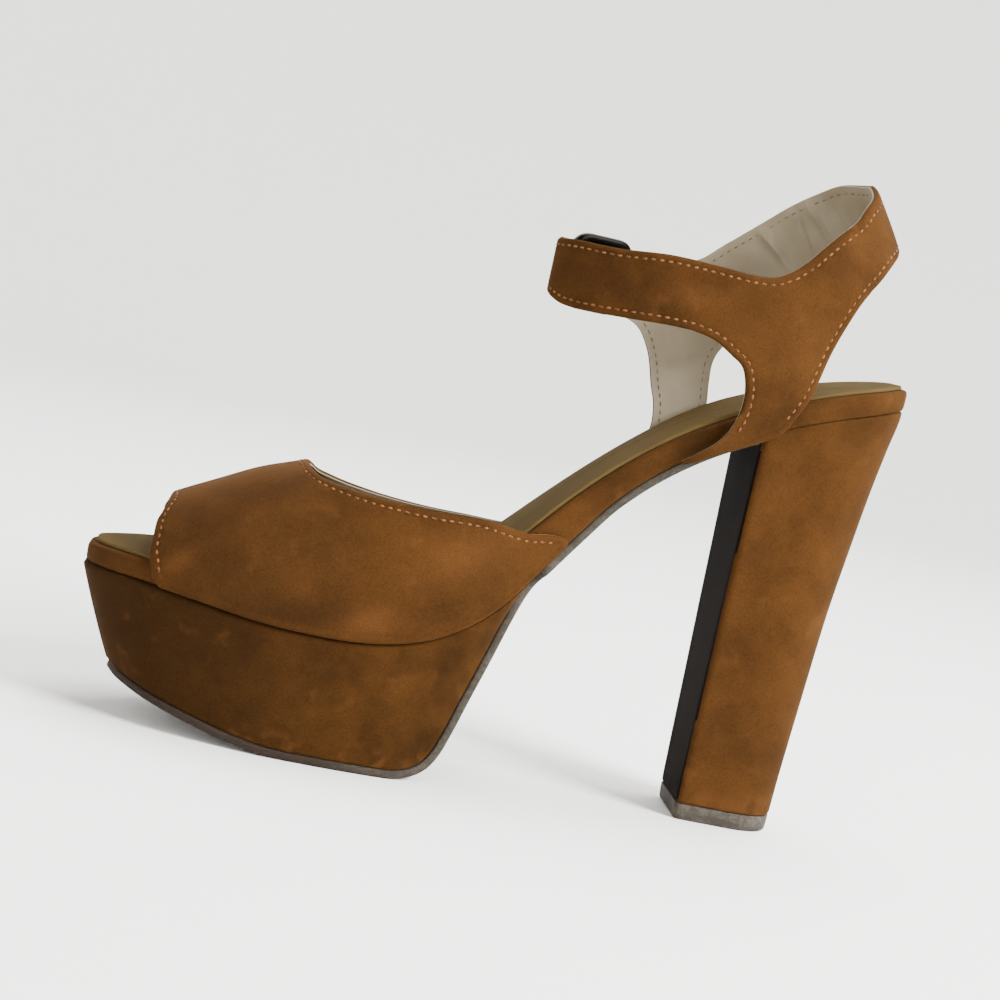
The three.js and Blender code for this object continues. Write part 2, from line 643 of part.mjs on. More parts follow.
function makeHeelTip() {
  const row = heelRow(0);
  const drawn = 0.97; // the floor face is drawn in a little
  const ring = (z, share) => heelRing(row, 0).map((p) => new THREE.Vector3(p.x * share, p.y * share, z));
  const width = (z) => 1 - (1 - drawn) * (1 - z / TIP_HEIGHT);
  return levelBlock([0, 1, TIP_HEIGHT].map((z) => ring(z, width(z))));
}

// Upper

const ridgeRise = smoothThrough(RIDGE, rowX, (row) => row.rise * VAMP_RISE);
const ridgeLean = smoothThrough(RIDGE, rowX, (row) => (row.lean * BALL_WIDTH) / 2);

// The vamp's outer surface at a bed place and an angle from the outer seam over to the inner one.
function vampSurface(x, angle) {
  const foot = bedPoint(x, boardEdge(x));
  const roll = Math.cos(angle) > 0 ? rollDrop(x) * Math.cos(angle) : 0;
  const lean = ridgeLean(x);
  const cos = Math.cos(angle);
  const side = cos > 0 ? -(outerEdge(x) + GAP + WALL + lean) : innerEdge(x) + GAP + WALL - lean;
  const power = 2 / VAMP_SQUARENESS;
  const height = bedHeight(x) + ridgeRise(x) - foot.z;
  const y = lean + side * Math.abs(cos) ** power;
  return new THREE.Vector3(foot.x, y, foot.z - roll + height * Math.sin(angle) ** power);
}

// The vamp's outline seen from the inner or the outer side.
function vampOutline(side) {
  const onBed = (row) => {
    const x = xOf(row.along);
    return { x, z: bedHeight(x) + row[side] * VAMP_RISE };
  };
  const throat = VAMP_THROAT.map(onBed);
  const tail = throat[throat.length - 1].x;
  const seam = stations(BED, 2, xOf(0.415), xOf(0.915))
    .map((x) => {
      const foot = bedPoint(x, boardEdge(x));
      return { x: foot.x, z: foot.z - (side === "outer" ? rollDrop(x) : 0) };
    })
    .filter((p) => p.x > tail + 1);
  const front = VAMP_FRONT.map(onBed).filter((p) => p.z > seam[seam.length - 1].z);
  const over = [{ x: front[front.length - 1].x, z: HEEL_HEIGHT }, { x: throat[0].x, z: HEEL_HEIGHT }];
  return [...seam, ...front, ...over, ...throat];
}

function makeVamp() {
  const places = stations(BED, 2, xOf(0.39), xOf(0.965));
  const angles = [0.004, ...steps(0.06, Math.PI - 0.06, 24), Math.PI - 0.004];
  const wall = curvedWall(vampSurface, places, angles, () => 0, WALL);
  const inner = sidePrism(vampOutline("inner"), -0.01, BALL_WIDTH);
  const outer = sidePrism(vampOutline("outer"), -BALL_WIDTH, 0.01);
  return wall
    .intersect(inner.add(outer))
    .subtract(makeBoard(GAP))
    .subtract(makePlatform(GAP / 2));
}

const loopAt = {
  back: smoothThrough(LOOP, (row) => row.up, (row) => xOf(row.back)),
  front: smoothThrough(LOOP, (row) => row.up, (row) => xOf(row.front)),
  half: smoothThrough(LOOP, (row) => row.up, (row) => (row.half * WIDTHS[row.of]) / 2),
};

// The strap loop's outer surface: angle 0 at the back, a quarter turn on the inner side, half a turn
// at the front fold, three quarters on the outer side.
function loopSurface(z, turn) {
  const up = (z - HEEL_HEIGHT) / COLLAR_RISE;
  const widest = xOf(LOOP_WIDEST);
  const cos = Math.cos(turn);
  const power = 2 / (cos > 0 ? BACK_SQUARENESS : FRONT_SQUARENESS);
  const reach = cos > 0 ? widest - loopAt.back(up) : loopAt.front(up) - widest;
  const x = widest - Math.sign(cos) * reach * Math.abs(cos) ** power;
  const y = Math.sign(Math.sin(turn)) * loopAt.half(up) * Math.abs(Math.sin(turn)) ** power;
  return new THREE.Vector3(x, y, z);
}

// Arc length past the front fold on the outer side, at the strap's middle height, and its inverse.
const foldTurns = steps(Math.PI, 2 * Math.PI, 120);
const foldLengths = foldTurns.reduce((lengths, turn, i) => {
  const here = loopSurface(strapMiddle, turn);
  const before = loopSurface(strapMiddle, foldTurns[Math.max(i - 1, 0)]);
  return [...lengths, (i ? lengths[i - 1] : 0) + here.distanceTo(before)];
}, []);
function turnAt(length) {
  const i = Math.max(1, foldLengths.findIndex((reached) => reached >= length));
  const share = (length - foldLengths[i - 1]) / (foldLengths[i] - foldLengths[i - 1]);
  return foldTurns[i - 1] + (foldTurns[i] - foldTurns[i - 1]) * share;
}
function lengthAt(turn) {
  const place = ((turn - Math.PI) / Math.PI) * (foldTurns.length - 1);
  const i = Math.min(Math.max(Math.floor(place), 0), foldTurns.length - 2);
  return foldLengths[i] + (foldLengths[i + 1] - foldLengths[i]) * (place - i);
}

// Depths at the buckle, counted outward from the loop's surface
const tabHalf = BUCKLE_BAR / 2 + GAP + TAB_WALL;
const pivotDepth = GAP + tabHalf;
const barReach = (BUCKLE_LENGTH - BUCKLE_BAR) / 2;
const pivotAt = BUCKLE_AT + barReach;
const frontBarAt = BUCKLE_AT - barReach;
const strapOnBranch = GAP + WALL;
const frontBarDepth = strapOnBranch + 2 * GAP + BUCKLE_BAR / 2;
const strapOverPivot = pivotDepth + tabHalf + 2 * GAP + WALL;
const branchTip = 14; // the branch's round end lies about this far past the front fold

const ease = (from, to, x) => {
  const share = Math.min(Math.max((x - from) / (to - from), 0), 1);
  return share * share * (3 - 2 * share);
};

// How far the strap's outer face stands off the loop: it passes outside the branch, climbs through
// the frame and over the pivot, and settles on the branch again.
function strapStandOff(turn) {
  if (turn <= Math.PI) return 0;
  const length = lengthAt(turn);
  const climb = ease(frontBarAt + BUCKLE_BAR, pivotAt - tabHalf, length);
  const settle = ease(pivotAt + tabHalf, pivotAt + tabHalf + 9, length);
  const onBranch = ease(2, branchTip - 3, length) * strapOnBranch;
  return onBranch + (climb - settle) * (strapOverPivot - strapOnBranch);
}

const quarterOutline = (rows, roll) =>
  rows.map((row) => {
    const x = xOf(row.along);
    const base = row.on === "seat" ? HEEL_HEIGHT : bedHeight(x) - roll(x);
    return { x, z: base + row.up * COLLAR_RISE };
  });

const loopHeights = steps(HEEL_HEIGHT - 0.72 * COLLAR_RISE, HEEL_HEIGHT + 1.015 * COLLAR_RISE, 14);
const seamTurn = 0.02; // the two quarters meet at the back with a hair's gap

// The strap's outline on the outer side: it climbs a little to the buckle and has a rounded tip.
function strapTipOutline() {
  const heightOf = (up) => HEEL_HEIGHT + up * COLLAR_RISE;
  const low = heightOf(STRAP_LOW);
  const tip = loopSurface(strapMiddle, turnAt(STRAP_REACH)).x;
  const level = loopSurface(strapMiddle, turnAt(frontBarAt - BUCKLE_BAR)).x;
  const fold = loopSurface(strapMiddle, Math.PI).x - WALL;
  const past = fold + 3 * WALL;
  const radius = strapWidth / 2;
  const curve = steps(-Math.PI / 2, Math.PI / 2, 8).map((angle) => ({
    x: tip + radius - radius * Math.cos(angle),
    z: low + radius + radius * Math.sin(angle),
  }));
  return [
    { x: past, z: heightOf(FOLD_LOW) },
    { x: fold, z: heightOf(FOLD_LOW) },
    { x: level, z: low },
    ...curve,
    { x: level, z: low + 2 * radius },
    { x: fold, z: heightOf(FOLD_HIGH) },
    { x: past, z: heightOf(FOLD_HIGH) },
  ];
}

function makeInnerQuarter(prongCut) {
  const turns = [...steps(seamTurn, Math.PI, 30), ...steps(Math.PI, turnAt(STRAP_REACH + 4), 26).slice(1)];
  const wall = curvedWall(loopSurface, loopHeights, turns, strapStandOff, WALL);
  const inner = sidePrism(quarterOutline(INNER_QUARTER, () => 0), -0.01, BALL_WIDTH);
  const outer = sidePrism(strapTipOutline(), -BALL_WIDTH, 0.01);
  return wall
    .intersect(inner.add(outer))
    .subtract(makeBoard(GAP))
    .subtract(prongCut);
}

function makeOuterQuarter() {
  const turns = steps(turnAt(branchTip - 6), 2 * Math.PI - seamTurn, 40);
  const wall = curvedWall(loopSurface, loopHeights, turns, () => 0, WALL);
  const outline = sidePrism(quarterOutline(OUTER_QUARTER, rollDrop), -BALL_WIDTH, 0);
  return wall.intersect(outline).subtract(makeBoard(GAP));
}

// Buckle, in its own frame: X forward along the strap, Y up, Z outward from the loop's surface

// The frame's bars lie at two depths over a surface that curves away from them, so it is tilted.
function buckleMatrix() {
  const turns = [pivotAt, frontBarAt].map(turnAt);
  const [rear, front] = turns.map((turn) => loopSurface(strapMiddle, turn));
  const upright = loopSurface(strapMiddle + 5, turns[1]).sub(loopSurface(strapMiddle - 5, turns[1]));
  const chord = front.clone().sub(rear).normalize();
  const outward = chord.clone().cross(upright).normalize();
  rear.addScaledVector(outward, pivotDepth);
  front.addScaledVector(outward, frontBarDepth);
  const x = front.clone().sub(rear).normalize();
  const z = x.clone().cross(upright).normalize();
  const y = z.clone().cross(x);
  const centre = rear.add(front).multiplyScalar(0.5);
  return new THREE.Matrix4().makeBasis(x, y, z).setPosition(centre);
}

function roundedRectangle(width, height, radius, Kind = THREE.Shape) {
  const x = width / 2;
  const y = height / 2;
  const shape = new Kind();
  shape.moveTo(-x + radius, -y);
  shape.lineTo(x - radius, -y);
  shape.absarc(x - radius, -y + radius, radius, -Math.PI / 2, 0);
  shape.lineTo(x, y - radius);
  shape.absarc(x - radius, y - radius, radius, 0, Math.PI / 2);
  shape.lineTo(-x + radius, y);
  shape.absarc(-x + radius, y - radius, radius, Math.PI / 2, Math.PI);
  shape.lineTo(-x, -y + radius);
  shape.absarc(-x + radius, -y + radius, radius, Math.PI, 1.5 * Math.PI);
  return shape;
}

function makeBuckleFrame() {
  const shape = roundedRectangle(BUCKLE_LENGTH, BUCKLE_HEIGHT, BUCKLE_CORNER);
  const inside = BUCKLE_CORNER - BUCKLE_BAR;
  const length = BUCKLE_LENGTH - 2 * BUCKLE_BAR;
  const height = BUCKLE_HEIGHT - 2 * BUCKLE_BAR;
  shape.holes.push(roundedRectangle(length, height, Math.max(inside, 0.5), THREE.Path));
  const options = { depth: BUCKLE_BAR, bevelEnabled: false, curveSegments: 5 };
  const geometry = new THREE.ExtrudeGeometry(shape, options);
  geometry.translate(0, 0, -BUCKLE_BAR / 2);
  return solidOf(geometry);
}

const pivotX = -barReach;
const tabHeight = strapWidth - 3;

// A fold of thin leather round the pivot bar, with a slot for the prong.
function makeBuckleTab() {
  const outside = 2 * tabHalf;
  const hole = BUCKLE_BAR + 2 * GAP;
  const slot = PRONG_WIDTH + 2 * GAP;
  const ring = roundedRectangle(outside, outside, TAB_WALL);
  ring.holes.push(roundedRectangle(hole, hole, 0.2, THREE.Path));
  const options = { depth: tabHeight, bevelEnabled: false, curveSegments: 3 };
  const geometry = new THREE.ExtrudeGeometry(ring, options);
  geometry.rotateX(-Math.PI / 2);
  geometry.translate(pivotX, -tabHeight / 2, 0);
  const cut = new THREE.BoxGeometry(outside, slot, 2 * outside);
  cut.translate(pivotX + tabHalf - BUCKLE_BAR * 0.4, 0, 0);
  return solidOf(geometry).subtract(solidOf(cut));
}

// The prong: it starts in front of the pivot bar, comes up through the strap and rests on the front bar.
function makeProng(grow = 0) {
  const half = PRONG_WIDTH / 2 + grow;
  const root = pivotX + BUCKLE_BAR / 2 + GAP - grow;
  const rest = BUCKLE_BAR / 2 + GAP;
  const crown = strapOverPivot - pivotDepth - BUCKLE_BAR / 2;
  const end = -pivotX + BUCKLE_BAR / 2 + 0.6 + grow;
  const low = (p) => new THREE.Vector2(p[0], p[1] - grow);
  const high = (p) => new THREE.Vector2(p[0], p[1] + PRONG_THICK + grow);
  const line = [
    [root, -PRONG_THICK / 2],
    [root + 2 * PRONG_THICK, -PRONG_THICK / 2],
    [pivotX / 2, rest * 0.6],
    [0, rest + (crown - rest) * 0.3],
    [-pivotX - BUCKLE_BAR, rest],
    [end, rest],
  ];
  const shape = new THREE.Shape([...line.map(low), ...line.map(high).reverse()]);
  const geometry = new THREE.ExtrudeGeometry(shape, { depth: 2 * half, bevelEnabled: false });
  geometry.rotateX(Math.PI / 2);
  return solidOf(geometry.translate(0, half, 0));
}

const frameMatrix = buckleMatrix();

// Materials: colours of the real surfaces

const finish = (color, roughness, metalness = 0) =>
  new THREE.MeshStandardMaterial({ color, roughness, metalness });
const suede = finish("#8a5525", 0.95);
const lining = finish("#8f8262", 0.75);
const rubber = finish("#6f6d68", 0.8);
const metal = finish("#17140f", 0.35, 0.6);

function named(name, geometry, material) {
  const mesh = new THREE.Mesh(geometry, material);
  mesh.name = name;
  return mesh;
}

const shoe = new THREE.Group();
shoe.add(
  named("outsole", geometryOf(makeOutsole()), rubber),
  named("platform", geometryOf(makePlatform()), suede),
  named("board", geometryOf(makeBoard()), suede),
  named("insole_sock", geometryOf(makeSock()), lining),
  named("heel_block", geometryOf(makeHeel()), suede),
  named("heel_tip", geometryOf(makeHeelTip()), rubber),
  named("vamp", geometryOf(makeVamp()), suede),
);

const prongCut = solidOf(geometryOf(makeProng(GAP)).applyMatrix4(frameMatrix));
shoe.add(
  named("inner_quarter_strap", geometryOf(makeInnerQuarter(prongCut)), suede),
  named("outer_quarter", geometryOf(makeOuterQuarter()), suede),
);

const buckle = new THREE.Group();
buckle.applyMatrix4(frameMatrix);
buckle.add(
  named("buckle_frame", geometryOf(makeBuckleFrame()), metal),
  named("buckle_prong", geometryOf(makeProng()), metal),
  named("buckle_tab", geometryOf(makeBuckleTab()), suede),
);
shoe.add(buckle);

export default shoe;
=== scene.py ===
"""A brown suede platform sandal with a block heel, dressed for a plain studio view."""
import logging
import math
from dataclasses import dataclass, field
from enum import Enum
from functools import cached_property
from typing import Callable, Sequence

import bmesh
import bpy
import numpy as np
from mathutils import Matrix, Vector
from mathutils.geometry import delaunay_2d_cdt


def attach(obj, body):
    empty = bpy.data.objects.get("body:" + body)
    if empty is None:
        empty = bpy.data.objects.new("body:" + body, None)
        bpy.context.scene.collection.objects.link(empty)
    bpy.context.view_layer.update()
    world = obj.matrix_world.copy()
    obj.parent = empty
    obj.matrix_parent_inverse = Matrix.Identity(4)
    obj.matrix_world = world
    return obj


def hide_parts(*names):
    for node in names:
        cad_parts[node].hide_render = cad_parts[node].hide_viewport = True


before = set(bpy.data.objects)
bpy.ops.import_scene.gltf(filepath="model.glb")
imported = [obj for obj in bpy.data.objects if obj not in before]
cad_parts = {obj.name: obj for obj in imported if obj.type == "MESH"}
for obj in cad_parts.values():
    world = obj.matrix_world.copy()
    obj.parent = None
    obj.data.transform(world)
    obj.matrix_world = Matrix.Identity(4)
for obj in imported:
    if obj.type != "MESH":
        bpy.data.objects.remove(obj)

MM = 0.001
LOG = logging.getLogger("shoe")
Points = np.ndarray
Line = tuple[Points, Points]


# Lines and outlines


@dataclass(frozen=True)
class Run:
    """A smooth line through rows of numbers that never overshoots them."""

    keys: tuple[float, ...]
    values: tuple[float, ...]

    def __call__(self, x: float | np.ndarray) -> np.ndarray:
        """Read the line.

        Args:
            x: Where to read it.

        Returns:
            The line's value there, held at the ends.
        """
        xs, ys = np.array(self.keys), np.array(self.values)
        slopes = np.diff(ys) / np.diff(xs)
        before = np.concatenate([slopes[:1], slopes])
        after = np.concatenate([slopes, slopes[-1:]])
        total = np.where(before + after == 0, 1, before + after)
        tangents = np.where(before * after > 0, 2 * before * after / total, 0)
        held = np.clip(x, xs[0], xs[-1])
        i = np.clip(np.searchsorted(xs, held, side="right") - 1, 0, len(xs) - 2)
        width = xs[i + 1] - xs[i]
        t = (held - xs[i]) / width
        ease = t * (1 - t) * width * ((1 - t) * tangents[i] - t * tangents[i + 1])
        return ys[i] + (ys[i + 1] - ys[i]) * t * t * (3 - 2 * t) + ease


def resample(points: Points, count: int, closed: bool = False) -> Points:
    """Spread points evenly along a line.

    Args:
        points: The line's points, one a row.
        count: How many points to return.
        closed: Whether the line runs back to its start.

    Returns:
        The new points.
    """
    line = np.vstack([points, points[:1]]) if closed else points
    run = np.concatenate([[0], np.cumsum(np.linalg.norm(np.diff(line, axis=0), axis=1))])
    at = np.linspace(0, run[-1], count, endpoint=not closed)
    return np.stack([np.interp(at, run, column) for column in line.T], axis=1)


def spline(points: Sequence[Sequence[float]], step: float, closed: bool = False) -> Points:
    """Draw a round curve through points.

    Args:
        points: The points to pass through.
        step: The spacing of the new points.
        closed: Whether the curve runs back to its start.

    Returns:
        Evenly spaced points on the curve.
    """
    p = np.asarray(points, float)
    if closed:
        p = np.vstack([p[-1:], p, p[:2]])
    else:
        p = np.vstack([2 * p[0] - p[1], p, 2 * p[-1] - p[-2]])
    pieces = []
    for a, b, c, d in zip(p, p[1:], p[2:], p[3:]):
        spans = [max(float(np.linalg.norm(v - u)), 1e-9) ** 0.5 for u, v in ((a, b), (b, c), (c, d))]
        t0, t1, t2, t3 = np.cumsum([0.0] + spans)
        t = np.linspace(t1, t2, 14, endpoint=False)[:, None]
        ab = ((t1 - t) * a + (t - t0) * b) / (t1 - t0)
        bc = ((t2 - t) * b + (t - t1) * c) / (t2 - t1)
        cd = ((t3 - t) * c + (t - t2) * d) / (t3 - t2)
        abc = ((t2 - t) * ab + (t - t0) * bc) / (t2 - t0)
        bcd = ((t3 - t) * bc + (t - t1) * cd) / (t3 - t1)
        pieces.append(((t2 - t) * abc + (t - t1) * bcd) / (t2 - t1))
    curve = np.vstack(pieces if closed else pieces + [p[-2:-1]])
    length = float(np.linalg.norm(np.diff(curve, axis=0), axis=1).sum())
    return resample(curve, max(3, round(length / step) + (0 if closed else 1)), closed)


def soften(values: np.ndarray, width: float, around: bool = False) -> np.ndarray:
    """Average a list of values with its neighbours.

    Args:
        values: The values, along the first axis.
        width: The spread of the average, in rows.
        around: Whether the list runs back to its start.

    Returns:
        The softened values.
    """
    reach = max(1, math.ceil(3 * width))
    weights = np.exp(-0.5 * (np.arange(-reach, reach + 1) / width) ** 2)
    pad = [(reach, reach)] + [(0, 0)] * (values.ndim - 1)
    if around:
        padded = np.pad(values, pad, mode="wrap")
    else:
        padded = np.pad(values, pad, mode="reflect", reflect_type="odd")
    rows = [padded[k : k + len(values)] * weight for k, weight in enumerate(weights)]
    return sum(rows) / weights.sum()


def inward(loop: Points) -> Points:
    """Find the directions into a closed outline.

    Args:
        loop: The outline's points in two dimensions.

    Returns:
        One unit vector for each point.
    """
    tangent = np.roll(loop, -1, axis=0) - np.roll(loop, 1, axis=0)
    tangent /= np.linalg.norm(tangent, axis=1, keepdims=True) + 1e-12
    turned = np.stack([-tangent[:, 1], tangent[:, 0]], axis=1)
    x, y = loop.T
    area = float(np.sum(x * np.roll(y, -1) - np.roll(x, -1) * y))
    return turned if area > 0 else -turned


def distance_to(points: Points, loop: Points) -> np.ndarray:
    """Measure how far points lie from a closed outline.

    Args:
        points: The points to measure.
        loop: The outline's points.

    Returns:
        One distance for each point.
    """
    start, along = loop, np.roll(loop, -1, axis=0) - loop
    square = np.maximum((along**2).sum(1), 1e-12)
    best = np.full(len(points), np.inf)
    for chunk in range(0, len(points), 2000):
        rows = slice(chunk, chunk + 2000)
        offset = points[rows, None, :] - start[None]
        share = np.clip((offset * along).sum(2) / square, 0, 1)
        best[rows] = np.linalg.norm(offset - share[..., None] * along, axis=2).min(1)
    return best


def inside(points: Points, loop: Points) -> np.ndarray:
    """Tell which points lie inside a closed outline.

    Args:
        points: The points to test.
        loop: The outline's points.

    Returns:
        One truth value for each point.
    """
    a, b = loop, np.roll(loop, -1, axis=0)
    x, y = points[:, :1], points[:, 1:2]
    spans = (a[:, 1] > y) != (b[:, 1] > y)
    rise = np.where(b[:, 1] == a[:, 1], 1e-12, b[:, 1] - a[:, 1])
    crossing = a[:, 0] + (y - a[:, 1]) / rise * (b[:, 0] - a[:, 0])
    return (spans & (x < crossing)).sum(1) % 2 == 1


# Meshes


class Node(Enum):
    """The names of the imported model's nodes that the pieces stand for."""

    OUTSOLE = "outsole"
    PLATFORM = "platform"
    BOARD = "board"
    SOCK = "insole_sock"
    HEEL = "heel_block"
    TIP = "heel_tip"
    VAMP = "vamp"
    INNER = "inner_quarter_strap"
    OUTER = "outer_quarter"
    FRAME = "buckle_frame"
    PRONG = "buckle_prong"
    TAB = "buckle_tab"


@dataclass
class Skin:
    """Points and faces of a mesh before Blender holds them, in millimetres."""

    points: Points
    faces: list[tuple[int, ...]]
    slots: list[int] = field(default_factory=list)
    marks: dict[str, np.ndarray] = field(default_factory=dict)

    def make(self, name: str, materials: Sequence[bpy.types.Material], weld: float = 0.0) -> bpy.types.Object:
        """Turn the skin into an object with outward faces and smooth shading.

        Args:
            name: The object's name.
            materials: Its materials, in the order of the slots.
            weld: Points nearer than this many millimetres are joined.

        Returns:
            The new object, linked to the scene.
        """
        mesh = bpy.data.meshes.new(name)
        mesh.from_pydata((self.points * MM).tolist(), [], self.faces)
        for key, values in self.marks.items():
            layer = mesh.attributes.new(key, "FLOAT", "POINT")
            layer.data.foreach_set("value", np.asarray(values, np.float32))
        for material in materials:
            mesh.materials.append(material)
        if self.slots:
            mesh.polygons.foreach_set("material_index", self.slots)
        work = bmesh.new()
        work.from_mesh(mesh)
        if weld:
            bmesh.ops.remove_doubles(work, verts=work.verts, dist=weld * MM)
        bmesh.ops.recalc_face_normals(work, faces=work.faces)
        work.to_mesh(mesh)
        work.free()
        mesh.polygons.foreach_set("use_smooth", [True] * len(mesh.polygons))
        mesh.set_sharp_from_angle(angle=math.radians(55))
        piece = bpy.data.objects.new(name, mesh)
        bpy.context.scene.collection.objects.link(piece)
        return piece


def joined(skins: Sequence[Skin]) -> Skin:
    """Put several skins into one.

    Args:
        skins: The skins to join.

    Returns:
        One skin with all points and faces.
    """
    faces: list[tuple[int, ...]] = []
    slots: list[int] = []
    start = 0
    for skin in skins:
        faces += [tuple(start + i for i in face) for face in skin.faces]
        slots += skin.slots or [0] * len(skin.faces)
        start += len(skin.points)
    return Skin(np.vstack([skin.points for skin in skins]), faces, slots)


def rings(levels: Sequence[Points], across: bool = False) -> Skin:
    """Skin a stack of closed rings of equal length.

    Args:
        levels: The rings, from one end to the other.
        across: Close the ends straight across, from one side of the ring to the other.

    Returns:
        A closed skin. Without across, the end rings are shrunk to a point or a line by the caller.
    """
    count = len(levels[0])
    faces: list[tuple[int, ...]] = []
    for level in range(len(levels) - 1):
        low, high = level * count, (level + 1) * count
        faces += [(low + i, low + (i + 1) % count, high + (i + 1) % count, high + i) for i in range(count)]
    if across:
        top = (len(levels) - 1) * count
        for i in range(count // 2 - 1):
            other = count - 1 - i
            faces.append((i, other, other - 1, i + 1))
            faces.append((top + i, top + i + 1, top + other - 1, top + other))
        if count % 2:
            a = count // 2 - 1
            faces += [(a, a + 2, a + 1), (top + a, top + a + 1, top + a + 2)]
    return Skin(np.vstack(levels), faces)


def tube(path: Points, normals: Points, section: Points, closed: bool) -> Skin:
    """Sweep a section along a path.

    Args:
        path: The path's points.
        normals: The direction of the section's second axis at each point.
        section: The section's points, one set for all or one set for each point.
        closed: Whether the path runs back to its start.

    Returns:
        The swept skin, with flat ends if the path is open.
    """
    if closed:
        tangent = np.roll(path, -1, axis=0) - np.roll(path, 1, axis=0)
    else:
        tangent = np.gradient(path, axis=0)
    tangent /= np.linalg.norm(tangent, axis=1, keepdims=True)
    side = np.cross(tangent, normals)
    side /= np.linalg.norm(side, axis=1, keepdims=True)
    up = np.cross(side, tangent)
    shape = np.broadcast_to(section, (len(path),) + section.shape[-2:])
    levels = [p + s[:, :1] * a + s[:, 1:] * b for p, a, b, s in zip(path, side, up, shape)]
    count = len(shape[0])
    skin = rings(levels + levels[:1] if closed else levels)
    if not closed:
        last = (len(levels) - 1) * count
        skin.faces.append(tuple(range(count)))
        skin.faces.append(tuple(last + i for i in reversed(range(count))))
    return skin


@dataclass
class Form:
    """A surface that leather is drawn over, read by two lengths along it."""

    us: np.ndarray
    vs: np.ndarray
    points: Points
    normals: Points = field(init=False)

    def __post_init__(self) -> None:
        """Work out the outward direction at every point of the table."""
        along = np.gradient(self.points, axis=0)
        over = np.gradient(self.points, axis=1)
        normals = np.cross(along, over)
        normals /= np.linalg.norm(normals, axis=2, keepdims=True) + 1e-12
        middle = self.points.reshape(-1, 3).mean(0)
        if float((normals * (self.points - middle)).sum()) < 0:
            normals = -normals
        self.normals = normals

    def locate(self, chart: Points) -> tuple[np.ndarray, np.ndarray]:
        """Give the table's own coordinates of points of the flat chart."""
        return chart[:, 0], chart[:, 1]

    def place(self, chart: Points, lift: float | np.ndarray = 0.0) -> tuple[Points, Points]:
        """Put points of the flat chart on the form.

        Args:
            chart: Points of the chart, in millimetres.
            lift: How far to stand off the form, outwards.

        Returns:
            The points in space and the outward directions there.
        """
        u, v = self.locate(chart)
        fu = np.clip(np.interp(u, self.us, np.arange(len(self.us))), 0, len(self.us) - 1.001)
        fv = np.clip(np.interp(v, self.vs, np.arange(len(self.vs))), 0, len(self.vs) - 1.001)
        i, j = fu.astype(int), fv.astype(int)
        a, b = (fu - i)[:, None], (fv - j)[:, None]
        read = [
            (1 - a) * ((1 - b) * t[i, j] + b * t[i, j + 1]) + a * ((1 - b) * t[i + 1, j] + b * t[i + 1, j + 1])
            for t in (self.points, self.normals)
        ]
        normal = read[1] / (np.linalg.norm(read[1], axis=1, keepdims=True) + 1e-12)
        return read[0] + normal * np.reshape(lift, (-1, 1)), normal


@dataclass(frozen=True)
class Crease:
    """A soft trough or ridge drawn between two points of a panel's chart."""

    start: tuple[float, float]
    end: tuple[float, float]
    depth: float
    width: float

    def relief(self, chart: Points) -> np.ndarray:
        """Give the crease's height over the panel.

        Args:
            chart: Points of the chart.

        Returns:
            One height for each point, negative in a trough.
        """
        a, b = np.array(self.start), np.array(self.end)
        along = b - a
        share = ((chart - a) @ along) / float(along @ along)
        off = np.linalg.norm(chart - a - np.clip(share, 0, 1)[:, None] * along, axis=1)
        fade = np.clip(1 - (2 * np.clip(share, 0, 1) - 1) ** 4, 0, 1)
        return -self.depth * np.exp(-((off / self.width) ** 2)) * (0.25 + 0.75 * fade)

    def points(self) -> Points:
        """Points that a mesh needs along the crease to keep its shape."""
        a, b = np.array(self.start), np.array(self.end)
        length = float(np.linalg.norm(b - a))
        unit = (b - a) / length
        side = np.array([-unit[1], unit[0]])
        places = np.arange(0, length, max(0.8, self.width * 0.8))
        offsets = self.width * np.array([-1.8, -1.1, -0.55, 0.0, 0.55, 1.1, 1.8])
        return np.array([a + unit * t + side * off for t in places for off in offsets])


@dataclass(frozen=True)
class Spot:
    """A soft patch placed on a panel's chart, for dirt, wear and painted shade."""

    at: tuple[float, float]
    size: tuple[float, float]
    strength: float
    turn: float = 0.0

    def shade(self, chart: Points) -> np.ndarray:
        """Give the patch's strength.

        Args:
            chart: Points of the chart.

        Returns:
            One value for each point.
        """
        off = chart - np.array(self.at)
        cos, sin = math.cos(math.radians(self.turn)), math.sin(math.radians(self.turn))
        along = (off[:, 0] * cos + off[:, 1] * sin) / self.size[0]
        across = (off[:, 1] * cos - off[:, 0] * sin) / self.size[1]
        return self.strength * np.exp(-(along**2) - across**2)


def total(parts: Sequence[np.ndarray], count: int) -> np.ndarray:
    """Add up lists of equal length, which may be none."""
    return sum(parts, np.zeros(count))


